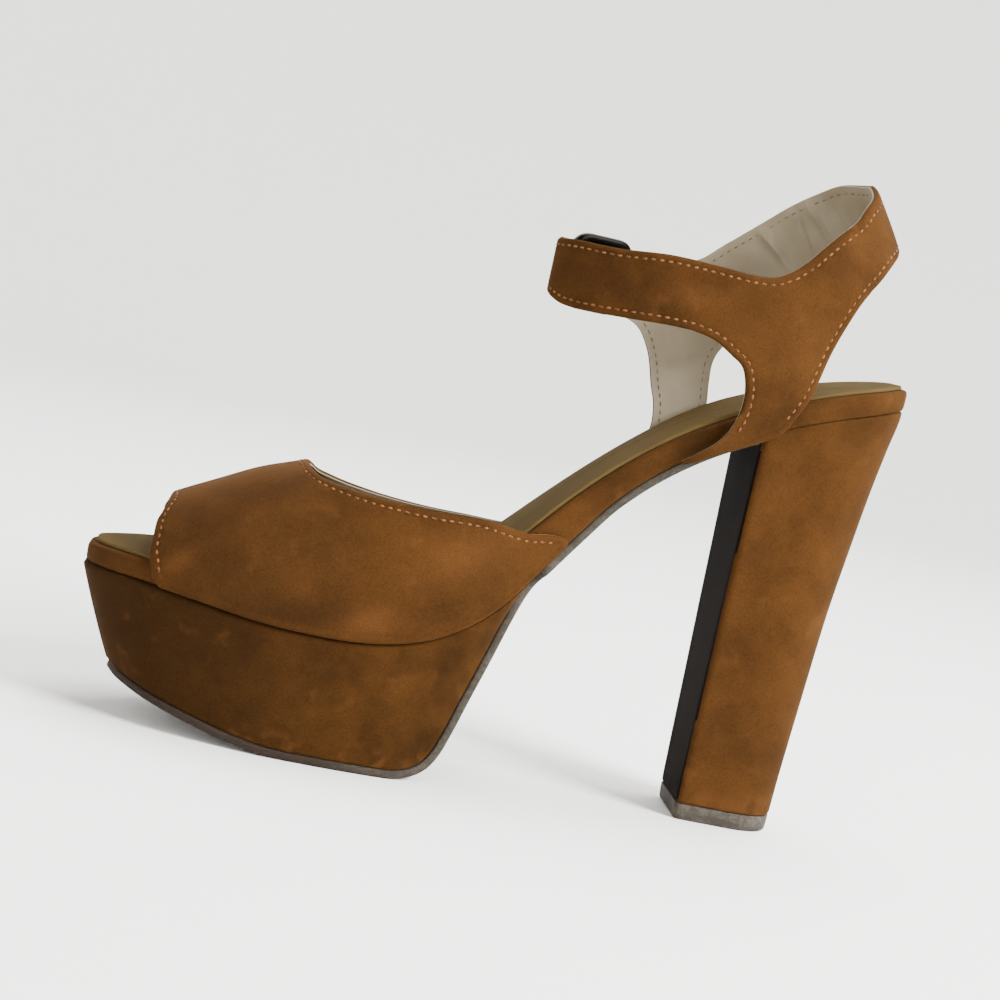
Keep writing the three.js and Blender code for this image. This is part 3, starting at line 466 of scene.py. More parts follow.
@dataclass
class Panel:
    """A cut piece of suede with its lining, drawn over a form.

    The edge is turned over round, and the stitch line lies in a fine trough along it.
    """

    form: Form
    outline: Points
    thickness: float
    creases: tuple[Crease, ...] = ()
    folds: tuple[Crease, ...] = ()
    # Spots that darken both faces, dirt and painted shade alike; spots that pale the suede; spots of painted shade on
    # the lining alone.
    soils_and_shades: tuple[Spot, ...] = ()
    rubs: tuple[Spot, ...] = ()
    lining_shades: tuple[Spot, ...] = ()
    holes: tuple[Points, ...] = ()
    stitch_inset: float = 2.0
    rows: tuple[float, ...] = (0.4, 0.8, 1.25, 1.7, 2.0, 2.3, 2.9, 3.8)
    grain: float = 2.0

    @cached_property
    def chart(self) -> tuple[Points, np.ndarray, list[tuple[int, int]]]:
        """The chart's points, their distances from the edge, and the edge's segments."""
        loops = [self.outline, *self.holes]
        lean = inward(self.outline)
        fixed = np.vstack(loops)
        near = []
        for inset in self.rows:
            row = self.outline + lean * inset
            keep = inside(row, self.outline) & (distance_to(row, self.outline) > inset - 0.12)
            near.append(row[keep])
        low, high = self.outline.min(0), self.outline.max(0)
        tall = self.grain * math.sqrt(0.75)
        lines = np.arange(low[1], high[1], tall)
        grid = np.array(
            [
                (x, y)
                for k, y in enumerate(lines)
                for x in np.arange(low[0] + (k % 2) * self.grain / 2, high[0], self.grain)
            ]
        )
        keep = inside(grid, self.outline) & (distance_to(grid, self.outline) > self.rows[-1] + 0.6)
        free = np.vstack(near + [grid[keep]])
        for crease in self.creases + self.folds:
            drawn = crease.points()
            clear = np.min(np.linalg.norm(free[:, None] - drawn[None], axis=2), axis=1) > crease.width * 0.5
            well = inside(drawn, self.outline) & (distance_to(drawn, self.outline) > self.rows[-1] + 0.4)
            free = np.vstack([free[clear], drawn[well]])
        for hole in self.holes:
            free = free[~inside(free, hole) & (distance_to(free, hole) > 0.5)]
        points = np.vstack([fixed, free])
        edges = []
        start = 0
        for loop in loops:
            edges += [(start + i, start + (i + 1) % len(loop)) for i in range(len(loop))]
            start += len(loop)
        away = np.concatenate([np.zeros(len(fixed)), distance_to(free, self.outline)])
        for hole in self.holes:
            away[len(fixed) :] = np.minimum(away[len(fixed) :], distance_to(free, hole) + 0.6)
        return points, away, edges

    def relief(self, chart: Points, away: np.ndarray) -> np.ndarray:
        """Give the outer face's height over the form.

        Args:
            chart: Points of the chart.
            away: Their distances from the edge.

        Returns:
            One height for each point.
        """
        turned = -0.6 * np.clip(1 - away / 1.2, 0, 1) ** 2
        trough = -0.22 * np.exp(-(((away - self.stitch_inset) / 0.35) ** 2))
        return turned + trough + total([crease.relief(chart) for crease in self.creases], len(chart))

    def build(self) -> Skin:
        """Cut the panel, draw it over its form and close its edge.

        Returns:
            A closed skin: slot 0 is the suede, slot 1 the lining.
        """
        points, away, edges = self.chart
        found = delaunay_2d_cdt([Vector(p) for p in points.tolist()], edges, [], 0, 1e-6)
        flat = np.array([tuple(v) for v in found[0]])
        faces = np.array([tuple(f) for f in found[2] if len(f) == 3])
        middle = flat[faces].mean(1)
        keep = inside(middle, self.outline)
        for hole in self.holes:
            keep &= ~inside(middle, hole)
        faces = faces[keep]
        far = np.array([away[ids[0]] if ids else 0.0 for ids in found[3]])
        height = self.relief(flat, far)
        creased = height - (-0.22 * np.exp(-(((far - self.stitch_inset) / 0.35) ** 2)))
        outer = self.form.place(flat, height)[0]
        turned = -0.6 * np.clip(1 - far / 1.2, 0, 1) ** 2
        count = len(flat)
        folded = total([fold.relief(flat) for fold in self.folds], count)
        inner = self.form.place(flat, creased - 0.9 * turned - self.thickness - folded)[0]
        skin = [tuple(f) for f in faces.tolist()]
        skin += [(a + count, c + count, b + count) for a, b, c in faces.tolist()]
        slots = [0] * len(faces) + [1] * len(faces)
        middle_rim = self.form.place(flat, creased - self.thickness / 2)[0]
        points3 = np.vstack([outer, inner, middle_rim])
        sides = np.sort(np.vstack([faces[:, [0, 1]], faces[:, [1, 2]], faces[:, [2, 0]]]), axis=1)
        pairs, uses = np.unique(sides, axis=0, return_counts=True)
        for i, j in pairs[uses == 1].tolist():
            skin += [(i, j, j + 2 * count, i + 2 * count), (i + 2 * count, j + 2 * count, j + count, i + count)]
            slots += [0, 1]
        used = np.unique(np.concatenate([np.array(f) for f in skin]))
        renumber = np.full(3 * count, -1)
        renumber[used] = np.arange(len(used))
        skin = [tuple(int(renumber[i]) for i in f) for f in skin]
        soil_and_shade = np.clip(total([spot.shade(flat) for spot in self.soils_and_shades], count), 0, 1)
        # The lining face also takes the painted shade of the lining's own spots.
        lining_soil_and_shade = np.clip(total([spot.shade(flat) for spot in self.soils_and_shades + self.lining_shades], count), 0, 1)
        rub = np.clip(total([spot.shade(flat) for spot in self.rubs], count), 0, 1)
        marks = {"soil_and_shade": np.concatenate([soil_and_shade, lining_soil_and_shade, soil_and_shade])[used], "rub": np.tile(rub, 3)[used]}
        return Skin(points3[used], skin, slots, marks)

    def seam(self, keep: Callable[[Points], np.ndarray]) -> tuple[list[Line], list[Line]]:
        """Find the stitch lines along the panel's edge.

        Args:
            keep: Tells which points of the chart have stitches.

        Returns:
            The lines on the suede and the lines on the lining, each with its points and the directions
            out of the leather there.
        """
        row = self.outline + inward(self.outline) * self.stitch_inset
        good = inside(row, self.outline) & (distance_to(row, self.outline) > self.stitch_inset - 0.4)
        good &= keep(row)
        if not good.any():
            return [], []
        start = 0 if good.all() else int(np.flatnonzero(~good)[0])
        order = np.roll(np.arange(len(row)), -start)
        lines: list[list[int]] = [[]]
        for i in order:
            if good[i]:
                lines[-1].append(int(i))
            elif lines[-1]:
                lines.append([])
        outer: list[Line] = []
        inner: list[Line] = []
        for line in lines:
            if len(line) > 6:
                chart = row[line]
                height = self.relief(chart, np.full(len(chart), self.stitch_inset)) + 0.14
                outer.append(self.form.place(chart, height))
                points, normals = self.form.place(chart, -self.thickness - 0.02)
                inner.append((points, -normals))
        return outer, inner


# Finishes


def linear(hex_code: str) -> tuple[float, float, float, float]:
    """Turn an sRGB hex colour into linear light.

    Args:
        hex_code: Six hex digits after a hash.

    Returns:
        Red, green, blue and an alpha of one.
    """
    parts = [int(hex_code[i : i + 2], 16) / 255 for i in (1, 3, 5)]
    red, green, blue = (c / 12.92 if c <= 0.04045 else ((c + 0.055) / 1.055) ** 2.4 for c in parts)
    return red, green, blue, 1.0


def add(
    tree: bpy.types.NodeTree,
    kind: str,
    values: dict[str | int, object] | None = None,
    links: dict[str | int, bpy.types.NodeSocket] | None = None,
    **settings: object,
) -> bpy.types.Node:
    """Add a node with its settings, values and links.

    Args:
        tree: The tree to add it to.
        kind: The node's type.
        values: Its sockets' own values.
        links: The sockets that feed it.
        **settings: Its properties.

    Returns:
        The new node.
    """
    node = tree.nodes.new(kind)
    for key, value in settings.items():
        setattr(node, key, value)
    for key, value in (values or {}).items():
        node.inputs[key].default_value = value
    for key, source in (links or {}).items():
        tree.links.new(source, node.inputs[key])
    return node


def blank(name: str) -> tuple[bpy.types.Material, bpy.types.NodeTree, bpy.types.NodeSocket]:
    """Start a material.

    Args:
        name: The material's name.

    Returns:
        The material, its emptied tree and the object's own coordinates in metres.
    """
    material = bpy.data.materials.new(name)
    material.use_nodes = True
    tree = material.node_tree
    tree.nodes.clear()
    return material, tree, add(tree, "ShaderNodeTexCoord").outputs["Object"]


@dataclass(frozen=True)
class Suede:
    """Calf split buffed to a short nap: matt and deep, mottled where the nap lies other ways, paler where rubbed."""

    base: str = "#38220c"
    dark: str = "#271707"
    pale: str = "#4d3016"
    mottle_mm: float = 20.0
    smudge_mm: float = 9.0
    nap_mm: float = 0.55
    sheen: float = 0.07
    scuff_below_mm: float = 0.0

    def make(self, name: str) -> bpy.types.Material:
        """Build the material.

        Args:
            name: Its name.

        Returns:
            The material.
        """
        material, tree, here = blank(name)
        wide = add(
            tree,
            "ShaderNodeTexNoise",
            {"Scale": 1 / (self.mottle_mm * MM), "Detail": 3.0, "Roughness": 0.55},
            {"Vector": here},
        )
        shade = add(tree, "ShaderNodeValToRGB", links={"Fac": wide.outputs["Fac"]})
        shade.color_ramp.elements[0].position = 0.22
        shade.color_ramp.elements[0].color = linear(self.dark)
        shade.color_ramp.elements[1].position = 0.58
        shade.color_ramp.elements[1].color = linear(self.base)
        smudge = add(
            tree,
            "ShaderNodeTexNoise",
            {"Scale": 1 / (self.smudge_mm * MM), "Detail": 2.0, "Roughness": 0.6},
            {"Vector": here},
        )
        smudged = add(
            tree,
            "ShaderNodeMapRange",
            {"From Min": 0.5, "From Max": 0.78, "To Min": 0.0, "To Max": 0.3},
            {"Value": smudge.outputs["Fac"]},
            interpolation_type="SMOOTHSTEP",
        )
        dulled = self._mix(tree, smudged.outputs["Result"], shade.outputs["Color"], linear(self.dark))
        # Dirt and painted shade marked on the piece darken it toward the dark colour.
        soil_and_shade = add(tree, "ShaderNodeAttribute", attribute_name="soil_and_shade")
        dulled = self._mix(tree, soil_and_shade.outputs["Fac"], dulled, linear(self.dark))
        rubbed = add(
            tree,
            "ShaderNodeMapRange",
            {"From Min": 0.44, "From Max": 0.2, "To Min": 0.0, "To Max": 0.3},
            {"Value": smudge.outputs["Fac"]},
            interpolation_type="SMOOTHSTEP",
        )
        worn = self._mix(tree, rubbed.outputs["Result"], dulled, linear(self.pale))
        rub = add(tree, "ShaderNodeAttribute", attribute_name="rub")
        worn = self._mix(tree, rub.outputs["Fac"], worn, linear(self.pale))
        fibre = add(
            tree,
            "ShaderNodeTexNoise",
            {"Scale": 1 / (self.nap_mm * MM), "Detail": 2.0, "Roughness": 0.7},
            {"Vector": here},
        )
        grain = add(
            tree,
            "ShaderNodeMapRange",
            {"From Min": 0.3, "From Max": 0.7, "To Min": 0.8, "To Max": 1.2},
            {"Value": fibre.outputs["Fac"]},
        )
        coloured = add(
            tree,
            "ShaderNodeVectorMath",
            links={0: worn, "Scale": grain.outputs["Result"]},
            operation="SCALE",
        ).outputs["Vector"]
        if self.scuff_below_mm:
            coloured = self._scuffed(tree, here, smudge.outputs["Fac"], coloured)
        bump = add(
            tree,
            "ShaderNodeBump",
            {"Strength": 0.5, "Distance": 0.12 * MM},
            {"Height": fibre.outputs["Fac"]},
        )
        soft = add(
            tree,
            "ShaderNodeBsdfPrincipled",
            {
                "Roughness": 0.95,
                "IOR": 1.45,
                "Specular IOR Level": 0.05,
                "Sheen Weight": self.sheen,
                "Sheen Roughness": 0.5,
                "Sheen Tint": linear("#b5824f"),
            },
            {"Base Color": coloured, "Normal": bump.outputs["Normal"]},
        )
        add(tree, "ShaderNodeOutputMaterial", links={"Surface": soft.outputs["BSDF"]})
        return material

    @staticmethod
    def _mix(
        tree: bpy.types.NodeTree,
        factor: bpy.types.NodeSocket,
        under: bpy.types.NodeSocket,
        colour: tuple[float, float, float, float],
    ) -> bpy.types.NodeSocket:
        """Lay one colour over another.

        Args:
            tree: The tree to work in.
            factor: How much shows.
            under: The colour below.
            colour: The colour above.

        Returns:
            The mixed colour.
        """
        node = add(tree, "ShaderNodeMix", data_type="RGBA")
        tree.links.new(factor, node.inputs[0])
        tree.links.new(under, node.inputs[6])
        node.inputs[7].default_value = colour
        return node.outputs[2]

    def _scuffed(
        self,
        tree: bpy.types.NodeTree,
        here: bpy.types.NodeSocket,
        noise: bpy.types.NodeSocket,
        colour: bpy.types.NodeSocket,
    ) -> bpy.types.NodeSocket:
        """Rub the nap off in pale patches near the floor.

        Args:
            tree: The tree to work in.
            here: The object's coordinates.
            noise: A noise that breaks the patches up.
            colour: The colour so far.

        Returns:
            The colour with its scuffs.
        """
        height = add(tree, "ShaderNodeSeparateXYZ", links={0: here}).outputs["Z"]
        low = add(
            tree,
            "ShaderNodeMapRange",
            {"From Min": self.scuff_below_mm * MM, "From Max": 0.3 * self.scuff_below_mm * MM},
            {"Value": height},
        )
        patch = add(
            tree,
            "ShaderNodeMapRange",
            {"From Min": 0.5, "From Max": 0.6, "To Min": 0.0, "To Max": 0.6},
            {"Value": noise},
        )
        both = add(
            tree,
            "ShaderNodeMath",
            links={0: low.outputs["Result"], 1: patch.outputs["Result"]},
            operation="MULTIPLY",
        )
        return self._mix(tree, both.outputs["Value"], colour, linear(self.pale))


@dataclass(frozen=True)
class Lining:
    """Smooth pigskin lining, milled soft: satin, with a fine grain and faint dirty patches, darkened where dirt and
    painted shade are marked.
    """

    base: str = "#766c59"
    dark: str = "#655a45"
    patch_mm: float = 14.0
    grain_mm: float = 0.7
    roughness: float = 0.55
    shine: float = 0.25
    # The colour that dirt and painted shade marked on the piece darken the lining to.
    soil_and_shade: str = "#18130b"

    def make(self, name: str) -> bpy.types.Material:
        """Build the material.

        Args:
            name: Its name.

        Returns:
            The material.
        """
        material, tree, here = blank(name)
        wide = add(
            tree,
            "ShaderNodeTexNoise",
            {"Scale": 1 / (self.patch_mm * MM), "Detail": 3.0},
            {"Vector": here},
        )
        shade = add(tree, "ShaderNodeValToRGB", links={"Fac": wide.outputs["Fac"]})
        shade.color_ramp.elements[0].position = 0.28
        shade.color_ramp.elements[0].color = linear(self.dark)
        shade.color_ramp.elements[1].position = 0.72
        shade.color_ramp.elements[1].color = linear(self.base)
        # Dirt and painted shade marked on the panel darken the lining.
        soiled_and_shaded = add(tree, "ShaderNodeMix", data_type="RGBA")
        tree.links.new(add(tree, "ShaderNodeAttribute", attribute_name="soil_and_shade").outputs["Fac"], soiled_and_shaded.inputs[0])
        tree.links.new(shade.outputs["Color"], soiled_and_shaded.inputs[6])
        soiled_and_shaded.inputs[7].default_value = linear(self.soil_and_shade)
        grain = add(
            tree,
            "ShaderNodeTexVoronoi",
            {"Scale": 1 / (self.grain_mm * MM)},
            {"Vector": here},
            feature="DISTANCE_TO_EDGE",
        )
        bump = add(
            tree,
            "ShaderNodeBump",
            {"Strength": 0.25, "Distance": 0.08 * MM},
            {"Height": grain.outputs["Distance"]},
        )
        gloss = add(
            tree,
            "ShaderNodeMapRange",
            {"To Min": self.roughness - 0.1, "To Max": self.roughness + 0.12},
            {"Value": wide.outputs["Fac"]},
        )
        skin = add(
            tree,
            "ShaderNodeBsdfPrincipled",
            {"IOR": 1.5, "Specular IOR Level": self.shine},
            {
                "Base Color": soiled_and_shaded.outputs[2],
                "Roughness": gloss.outputs["Result"],
                "Normal": bump.outputs["Normal"],
            },
        )
        add(tree, "ShaderNodeOutputMaterial", links={"Surface": skin.outputs["BSDF"]})
        return material


@dataclass(frozen=True)
class Rubber:
    """Pressed sheet rubber: dull grey, speckled with dust and dragged scuffs."""

    base: str = "#29241d"
    dust: str = "#3e3930"
    # Colour of the painted shade on the outsole's side.
    side_shade: str = "#1c1108"
    speck_mm: float = 1.1
    scuff_mm: float = 7.0

    def make(self, name: str) -> bpy.types.Material:
        """Build the material.

        Args:
            name: Its name.

        Returns:
            The material.
        """
        material, tree, here = blank(name)
        speck = add(
            tree,
            "ShaderNodeTexNoise",
            {"Scale": 1 / (self.speck_mm * MM), "Detail": 3.0},
            {"Vector": here},
        )
        drag = add(tree, "ShaderNodeMapping", {"Scale": (0.35, 1.0, 1.6)}, {"Vector": here})
        scuff = add(
            tree,
            "ShaderNodeTexNoise",
            {"Scale": 1 / (self.scuff_mm * MM), "Detail": 4.0, "Roughness": 0.65},
            {"Vector": drag.outputs["Vector"]},
        )
        total = add(
            tree,
            "ShaderNodeMath",
            links={0: speck.outputs["Fac"], 1: scuff.outputs["Fac"]},
            operation="MULTIPLY",
        )
        shade = add(tree, "ShaderNodeValToRGB", links={"Fac": total.outputs["Value"]})
        shade.color_ramp.elements[0].position = 0.18
        shade.color_ramp.elements[0].color = linear(self.base)
        shade.color_ramp.elements[1].position = 0.42
        shade.color_ramp.elements[1].color = linear(self.dust)
        bump = add(
            tree,
            "ShaderNodeBump",
            {"Strength": 0.4, "Distance": 0.15 * MM},
            {"Height": speck.outputs["Fac"]},
        )
        # Painted shade marked on the piece darkens it.
        side_shaded = add(tree, "ShaderNodeMix", data_type="RGBA")
        tree.links.new(add(tree, "ShaderNodeAttribute", attribute_name="side_shade").outputs["Fac"], side_shaded.inputs[0])
        tree.links.new(shade.outputs["Color"], side_shaded.inputs[6])
        side_shaded.inputs[7].default_value = linear(self.side_shade)
        body = add(
            tree,
            "ShaderNodeBsdfPrincipled",
            {"Roughness": 0.8, "IOR": 1.52, "Specular IOR Level": 0.2},
            {"Base Color": side_shaded.outputs[2], "Normal": bump.outputs["Normal"]},
        )
        add(tree, "ShaderNodeOutputMaterial", links={"Surface": body.outputs["BSDF"]})
        return material


@dataclass(frozen=True)
class Plating:
    """Black nickel plate on zinc: dark, smooth and glossy, with hairline rubbing."""

    base: str = "#0b0a08"
    roughness: float = 0.3
    rub_mm: float = 0.5

    def make(self, name: str) -> bpy.types.Material:
        """Build the material.

        Args:
            name: Its name.

        Returns:
            The material.
        """
        material, tree, here = blank(name)
        drag = add(tree, "ShaderNodeMapping", {"Scale": (1.0, 1.0, 0.12)}, {"Vector": here})
        rub = add(
            tree,
            "ShaderNodeTexNoise",
            {"Scale": 1 / (self.rub_mm * MM), "Detail": 2.0},
            {"Vector": drag.outputs["Vector"]},
        )
        gloss = add(
            tree,
            "ShaderNodeMapRange",
            {"To Min": self.roughness - 0.1, "To Max": self.roughness + 0.15},
            {"Value": rub.outputs["Fac"]},
        )
        bump = add(
            tree,
            "ShaderNodeBump",
            {"Strength": 0.15, "Distance": 0.03 * MM},
            {"Height": rub.outputs["Fac"]},
        )
        body = add(
            tree,
            "ShaderNodeBsdfPrincipled",
            {"Base Color": linear(self.base), "Metallic": 1.0},
            {"Roughness": gloss.outputs["Result"], "Normal": bump.outputs["Normal"]},
        )
        add(tree, "ShaderNodeOutputMaterial", links={"Surface": body.outputs["BSDF"]})
        return material


@dataclass(frozen=True)
class Thread:
    """Bonded nylon sewing thread: three plies twisted together, tan, with a slight sheen."""

    base: str = "#6b4526"
    groove_shade: str = "#472910"
    ply_mm: float = 0.45

    def make(self, name: str) -> bpy.types.Material:
        """Build the material.

        Args:
            name: Its name.

        Returns:
            The material.
        """
        material, tree, here = blank(name)
        ply = add(
            tree,
            "ShaderNodeTexWave",
            {"Scale": 1 / (self.ply_mm * 2 * math.pi * MM), "Distortion": 0.6},
            {"Vector": here},
            bands_direction="DIAGONAL",
        )
        # Painted shade in the grooves between the twisted plies.
        shade = add(tree, "ShaderNodeValToRGB", links={"Fac": ply.outputs["Fac"]})
        shade.color_ramp.elements[0].color = linear(self.groove_shade)
        shade.color_ramp.elements[1].color = linear(self.base)
        body = add(
            tree,
            "ShaderNodeBsdfPrincipled",
            {"Roughness": 0.7, "IOR": 1.53, "Specular IOR Level": 0.15},
            {"Base Color": shade.outputs["Color"]},
        )
        add(tree, "ShaderNodeOutputMaterial", links={"Surface": body.outputs["BSDF"]})
        return material


@dataclass(frozen=True)
class Paper:
    """Pale seamless studio paper."""

    base: str = "#f4f3f1"

    def make(self, name: str) -> bpy.types.Material:
        """Build the material.

        Args:
            name: Its name.

        Returns:
            The material.
        """
        material, tree, _ = blank(name)
        body = add(tree, "ShaderNodeBsdfPrincipled", {"Base Color": linear(self.base), "Roughness": 0.9})
        add(tree, "ShaderNodeOutputMaterial", links={"Surface": body.outputs["BSDF"]})
        return material


@dataclass(frozen=True)
class Finishes:
    """The shoe's materials, each made once."""

    suede: bpy.types.Material
    heel_suede: bpy.types.Material
    breast_suede: bpy.types.Material
    platform_suede: bpy.types.Material
    lining: bpy.types.Material
    sock: bpy.types.Material
    outsole: bpy.types.Material
    tip: bpy.types.Material
    plating: bpy.types.Material
    thread: bpy.types.Material
    bobbin: bpy.types.Material

    @classmethod
    def make(cls) -> "Finishes":
        """Build every finish."""
        return cls(
            suede=Suede().make("brown buffed suede"),
            heel_suede=Suede(scuff_below_mm=14.0).make("brown buffed suede on the heel"),
            # The heel breast takes near-black suede: painted shade for the face turned away from the key light.
            breast_suede=Suede(base="#0d0704", dark="#080402", pale="#140c06", sheen=0.0).make("suede painted near black as the heel breast's shade"),
            # The platform's darker dark is also the colour its painted shade toward the toe fades to.
            platform_suede=Suede(base="#38220b", dark="#1e1104", scuff_below_mm=9.0).make("brown buffed suede on the platform"),
            lining=Lining().make("beige pigskin lining"),
            sock=Lining(base="#473a21", dark="#40331c", roughness=0.85, shine=0.02).make("olive pigskin sock"),
            outsole=Rubber().make("grey pressed sheet rubber"),
            tip=Rubber(base="#2d2822", dust="#474139").make("grey heel tip rubber"),
            plating=Plating().make("black nickel plated zinc"),
            thread=Thread().make("tan bonded nylon thread"),
            bobbin=Thread(base="#5d5343", groove_shade="#463d2e").make("taupe bobbin thread"),
        )


# The last and its foot bed

# Heel to toe. Columns: share of the run, rise over the ball as a share of the lift, named width, inner and
# outer edge as shares of half that width, thickness as a share of the board, roll of the outer edge.
BED = (
    (0, 1, "seat", 0.28, 0.28, 1, 0),
    (0.009, 0.996, "seat", 0.5, 0.5, 1, 0),
    (0.025, 0.987, "seat", 0.665, 0.665, 1, 0),
    (0.052, 0.971, "seat", 0.82, 0.82, 1, 0),
    (0.093, 0.944, "seat", 0.94, 0.94, 1, 0),
    (0.147, 0.898, "seat", 1, 1, 1, 0),
    (0.205, 0.838, "seat", 0.985, 0.99, 1, 0),
    (0.26, 0.768, "waist", 1.035, 1.065, 1.01, 0.12),
    (0.323, 0.66, "waist", 0.99, 1.035, 1.03, 0.3),
    (0.377, 0.546, "waist", 1.005, 1.09, 1.12, 0.42),
    (0.422, 0.436, "waist", 1.085, 1.21, 1.36, 0.48),
    (0.467, 0.316, "ball", 0.7, 0.775, 1.55, 0.5),
    (0.517, 0.183, "ball", 0.815, 0.88, 1.72, 0.42),
    (0.567, 0.084, "ball", 0.925, 0.955, 1.55, 0.25),
    (0.621, 0.027, "ball", 0.975, 1, 1.26, 0.08),
    (0.675, 0.005, "ball", 0.985, 1, 1.1, 0),
    (0.734, 0, "ball", 0.99, 0.955, 1, 0),
    (0.792, 0.009, "ball", 0.965, 0.86, 0.97, 0),
    (0.847, 0.023, "ball", 0.915, 0.725, 0.94, 0),
    (0.896, 0.032, "ball", 0.835, 0.565, 0.92, 0),
    (0.937, 0.036, "ball", 0.725, 0.39, 0.9, 0),
    (0.968, 0.034, "ball", 0.59, 0.21, 0.89, 0),
    (0.989, 0.034, "ball", 0.46, 0.05, 0.88, 0),
    (1, 0.034, "ball", 0.315, -0.08, 0.88, 0),
)


@dataclass(frozen=True)
class FootBed:
    """The curved bed that every other piece is set out from."""

    run: float = 221.5
    seat_back: float = 27.5
    heel_height: float = 135.5
    platform_height: float = 36.6
    board: float = 6.6
    seat_width: float = 49.6
    waist_width: float = 45.0
    ball_width: float = 80.0
    gap: float = 0.12
    upright_end: float = 16.0

    def x_of(self, along: float | np.ndarray) -> np.ndarray:
        """Turn a share of the run into a place along the shoe."""
        return along * self.run - self.seat_back

    def column(self, values: Sequence[float]) -> Run:
        """Make a smooth line of one value for each row of the bed."""
        return Run(tuple(float(self.x_of(row[0])) for row in BED), tuple(values))

    @cached_property
    def half_widths(self) -> dict[str, float]:
        """Half of each named width."""
        return {"seat": self.seat_width / 2, "waist": self.waist_width / 2, "ball": self.ball_width / 2}

    @cached_property
    def ball_top(self) -> float:
        """Height of the bed's top at the ball."""
        return self.platform_height + self.board

    @cached_property
    def height(self) -> Run:
        """Height of the bed's top along the shoe."""
        lift = self.heel_height - self.ball_top
        xs = np.linspace(self.x_of(0), self.x_of(1), 400)
        raw = self.column([self.ball_top + row[1] * lift for row in BED])(xs)
        return Run(tuple(xs), tuple(soften(raw, 7)))

    @cached_property
    def edge(self) -> Run:
        """Thickness of the covered board along the shoe."""
        return self.column([row[5] * self.board for row in BED])

    @cached_property
    def inner(self) -> Run:
        """Distance of the inner edge from the middle line."""
        return self.column([row[3] * self.half_widths[row[2]] for row in BED])

    @cached_property
    def outer(self) -> Run:
        """Distance of the outer edge from the middle line."""
        return self.column([row[4] * self.half_widths[row[2]] for row in BED])

    @cached_property
    def roll(self) -> Run:
        """How far the outer edge lies under the inner one."""
        return self.column([row[6] * self.board for row in BED])

    def sunk(self, x: np.ndarray, depth: float | np.ndarray) -> tuple[np.ndarray, np.ndarray]:
        """Sink places of the bed square to its slope.

        Args:
            x: Places along the bed.
            depth: How far to sink them.

        Returns:
            Their new places along the shoe and heights.
        """
        held = np.clip(x, self.x_of(0) + 0.6, self.x_of(1) - 0.6)
        slope = (self.height(held + 0.5) - self.height(held - 0.5)) / 1.0
        unit = np.hypot(1, slope)
        base = self.height(held) + slope * (x - held)
        share = np.clip((x - self.x_of(0)) / self.upright_end, 0, 1)
        upright = share * share * (3 - 2 * share)
        return x + depth * slope / unit * upright, base - depth / unit

    def place(self, x: np.ndarray, y: np.ndarray, depth: float | np.ndarray) -> Points:
        """Put points of the plan on or under the bed.

        Args:
            x: Places along the bed.
            y: Places across it.
            depth: How far under the bed's top.

        Returns:
            The points in space.
        """
        across, high = self.sunk(x, depth)
        lean = np.clip(-y / np.maximum(self.outer(x), 1), 0, 1) ** 2
        return np.stack([across, y, high - self.roll(x) * lean], axis=1)

    @cached_property
    def outline(self) -> Points:
        """The bed's plan, up the outer side and back down the inner one."""
        outer = [(self.x_of(row[0]), -row[4] * self.half_widths[row[2]]) for row in BED]
        inner = [(self.x_of(row[0]), row[3] * self.half_widths[row[2]]) for row in BED]
        toe, heel = ((a[0], (a[1] + b[1]) / 2) for a, b in ((outer[-1], inner[-1]), (outer[0], inner[0])))
        return spline([*outer, toe, *inner[::-1], heel], 1.4, closed=True)

    @cached_property
    def spine(self) -> Points:
        """For each point of the outline the point of the middle line that it shrinks to."""
        x = np.clip(self.outline[:, 0], self.x_of(0.085), self.x_of(0.94))
        return np.stack([x, (self.inner(x) - self.outer(x)) / 2], axis=1)

    def layer(self, levels: Sequence[tuple[float, float, Callable[[np.ndarray], np.ndarray]]]) -> Skin:
        """Build a closed layer that follows the bed.

        Args:
            levels: For each ring its inset, its share of the way to the middle line, and its depth along
                the bed.

        Returns:
            The layer's skin.
        """
        lean = inward(self.outline)
        stack = []
        for inset, share, depth in levels:
            plan = self.outline + lean * inset
            plan = plan + (self.spine - plan) * share
            stack.append(self.place(plan[:, 0], plan[:, 1], depth(plan[:, 0])))
        return rings(stack, across=True)


# Sole

# The outsole's lower face from the platform's rear face to the toe. Columns: share of the run, height as a
# share of the platform's height, share of the bed's roll.
TREAD = (
    (0.434, 1.655, 1),
    (0.4445, 1.535, 1),
    (0.457, 1.315, 0.85),
    (0.472, 1.01, 0.55),
    (0.488, 0.7, 0.3),
    (0.504, 0.385, 0.1),
    (0.514, 0.22, 0.03),
    (0.527, 0.105, 0),
    (0.546, 0.035, 0),
    (0.575, 0, 0),
    (0.64, 0, 0),
    (0.705, 0, 0),
    (0.742, 0.016, 0),
    (0.781, 0.055, 0),
    (0.82, 0.105, 0),
    (0.856, 0.158, 0),
    (0.89, 0.21, 0),
    (0.92, 0.262, 0),
    (0.942, 0.302, 0),
    (0.955, 0.327, 0),
)


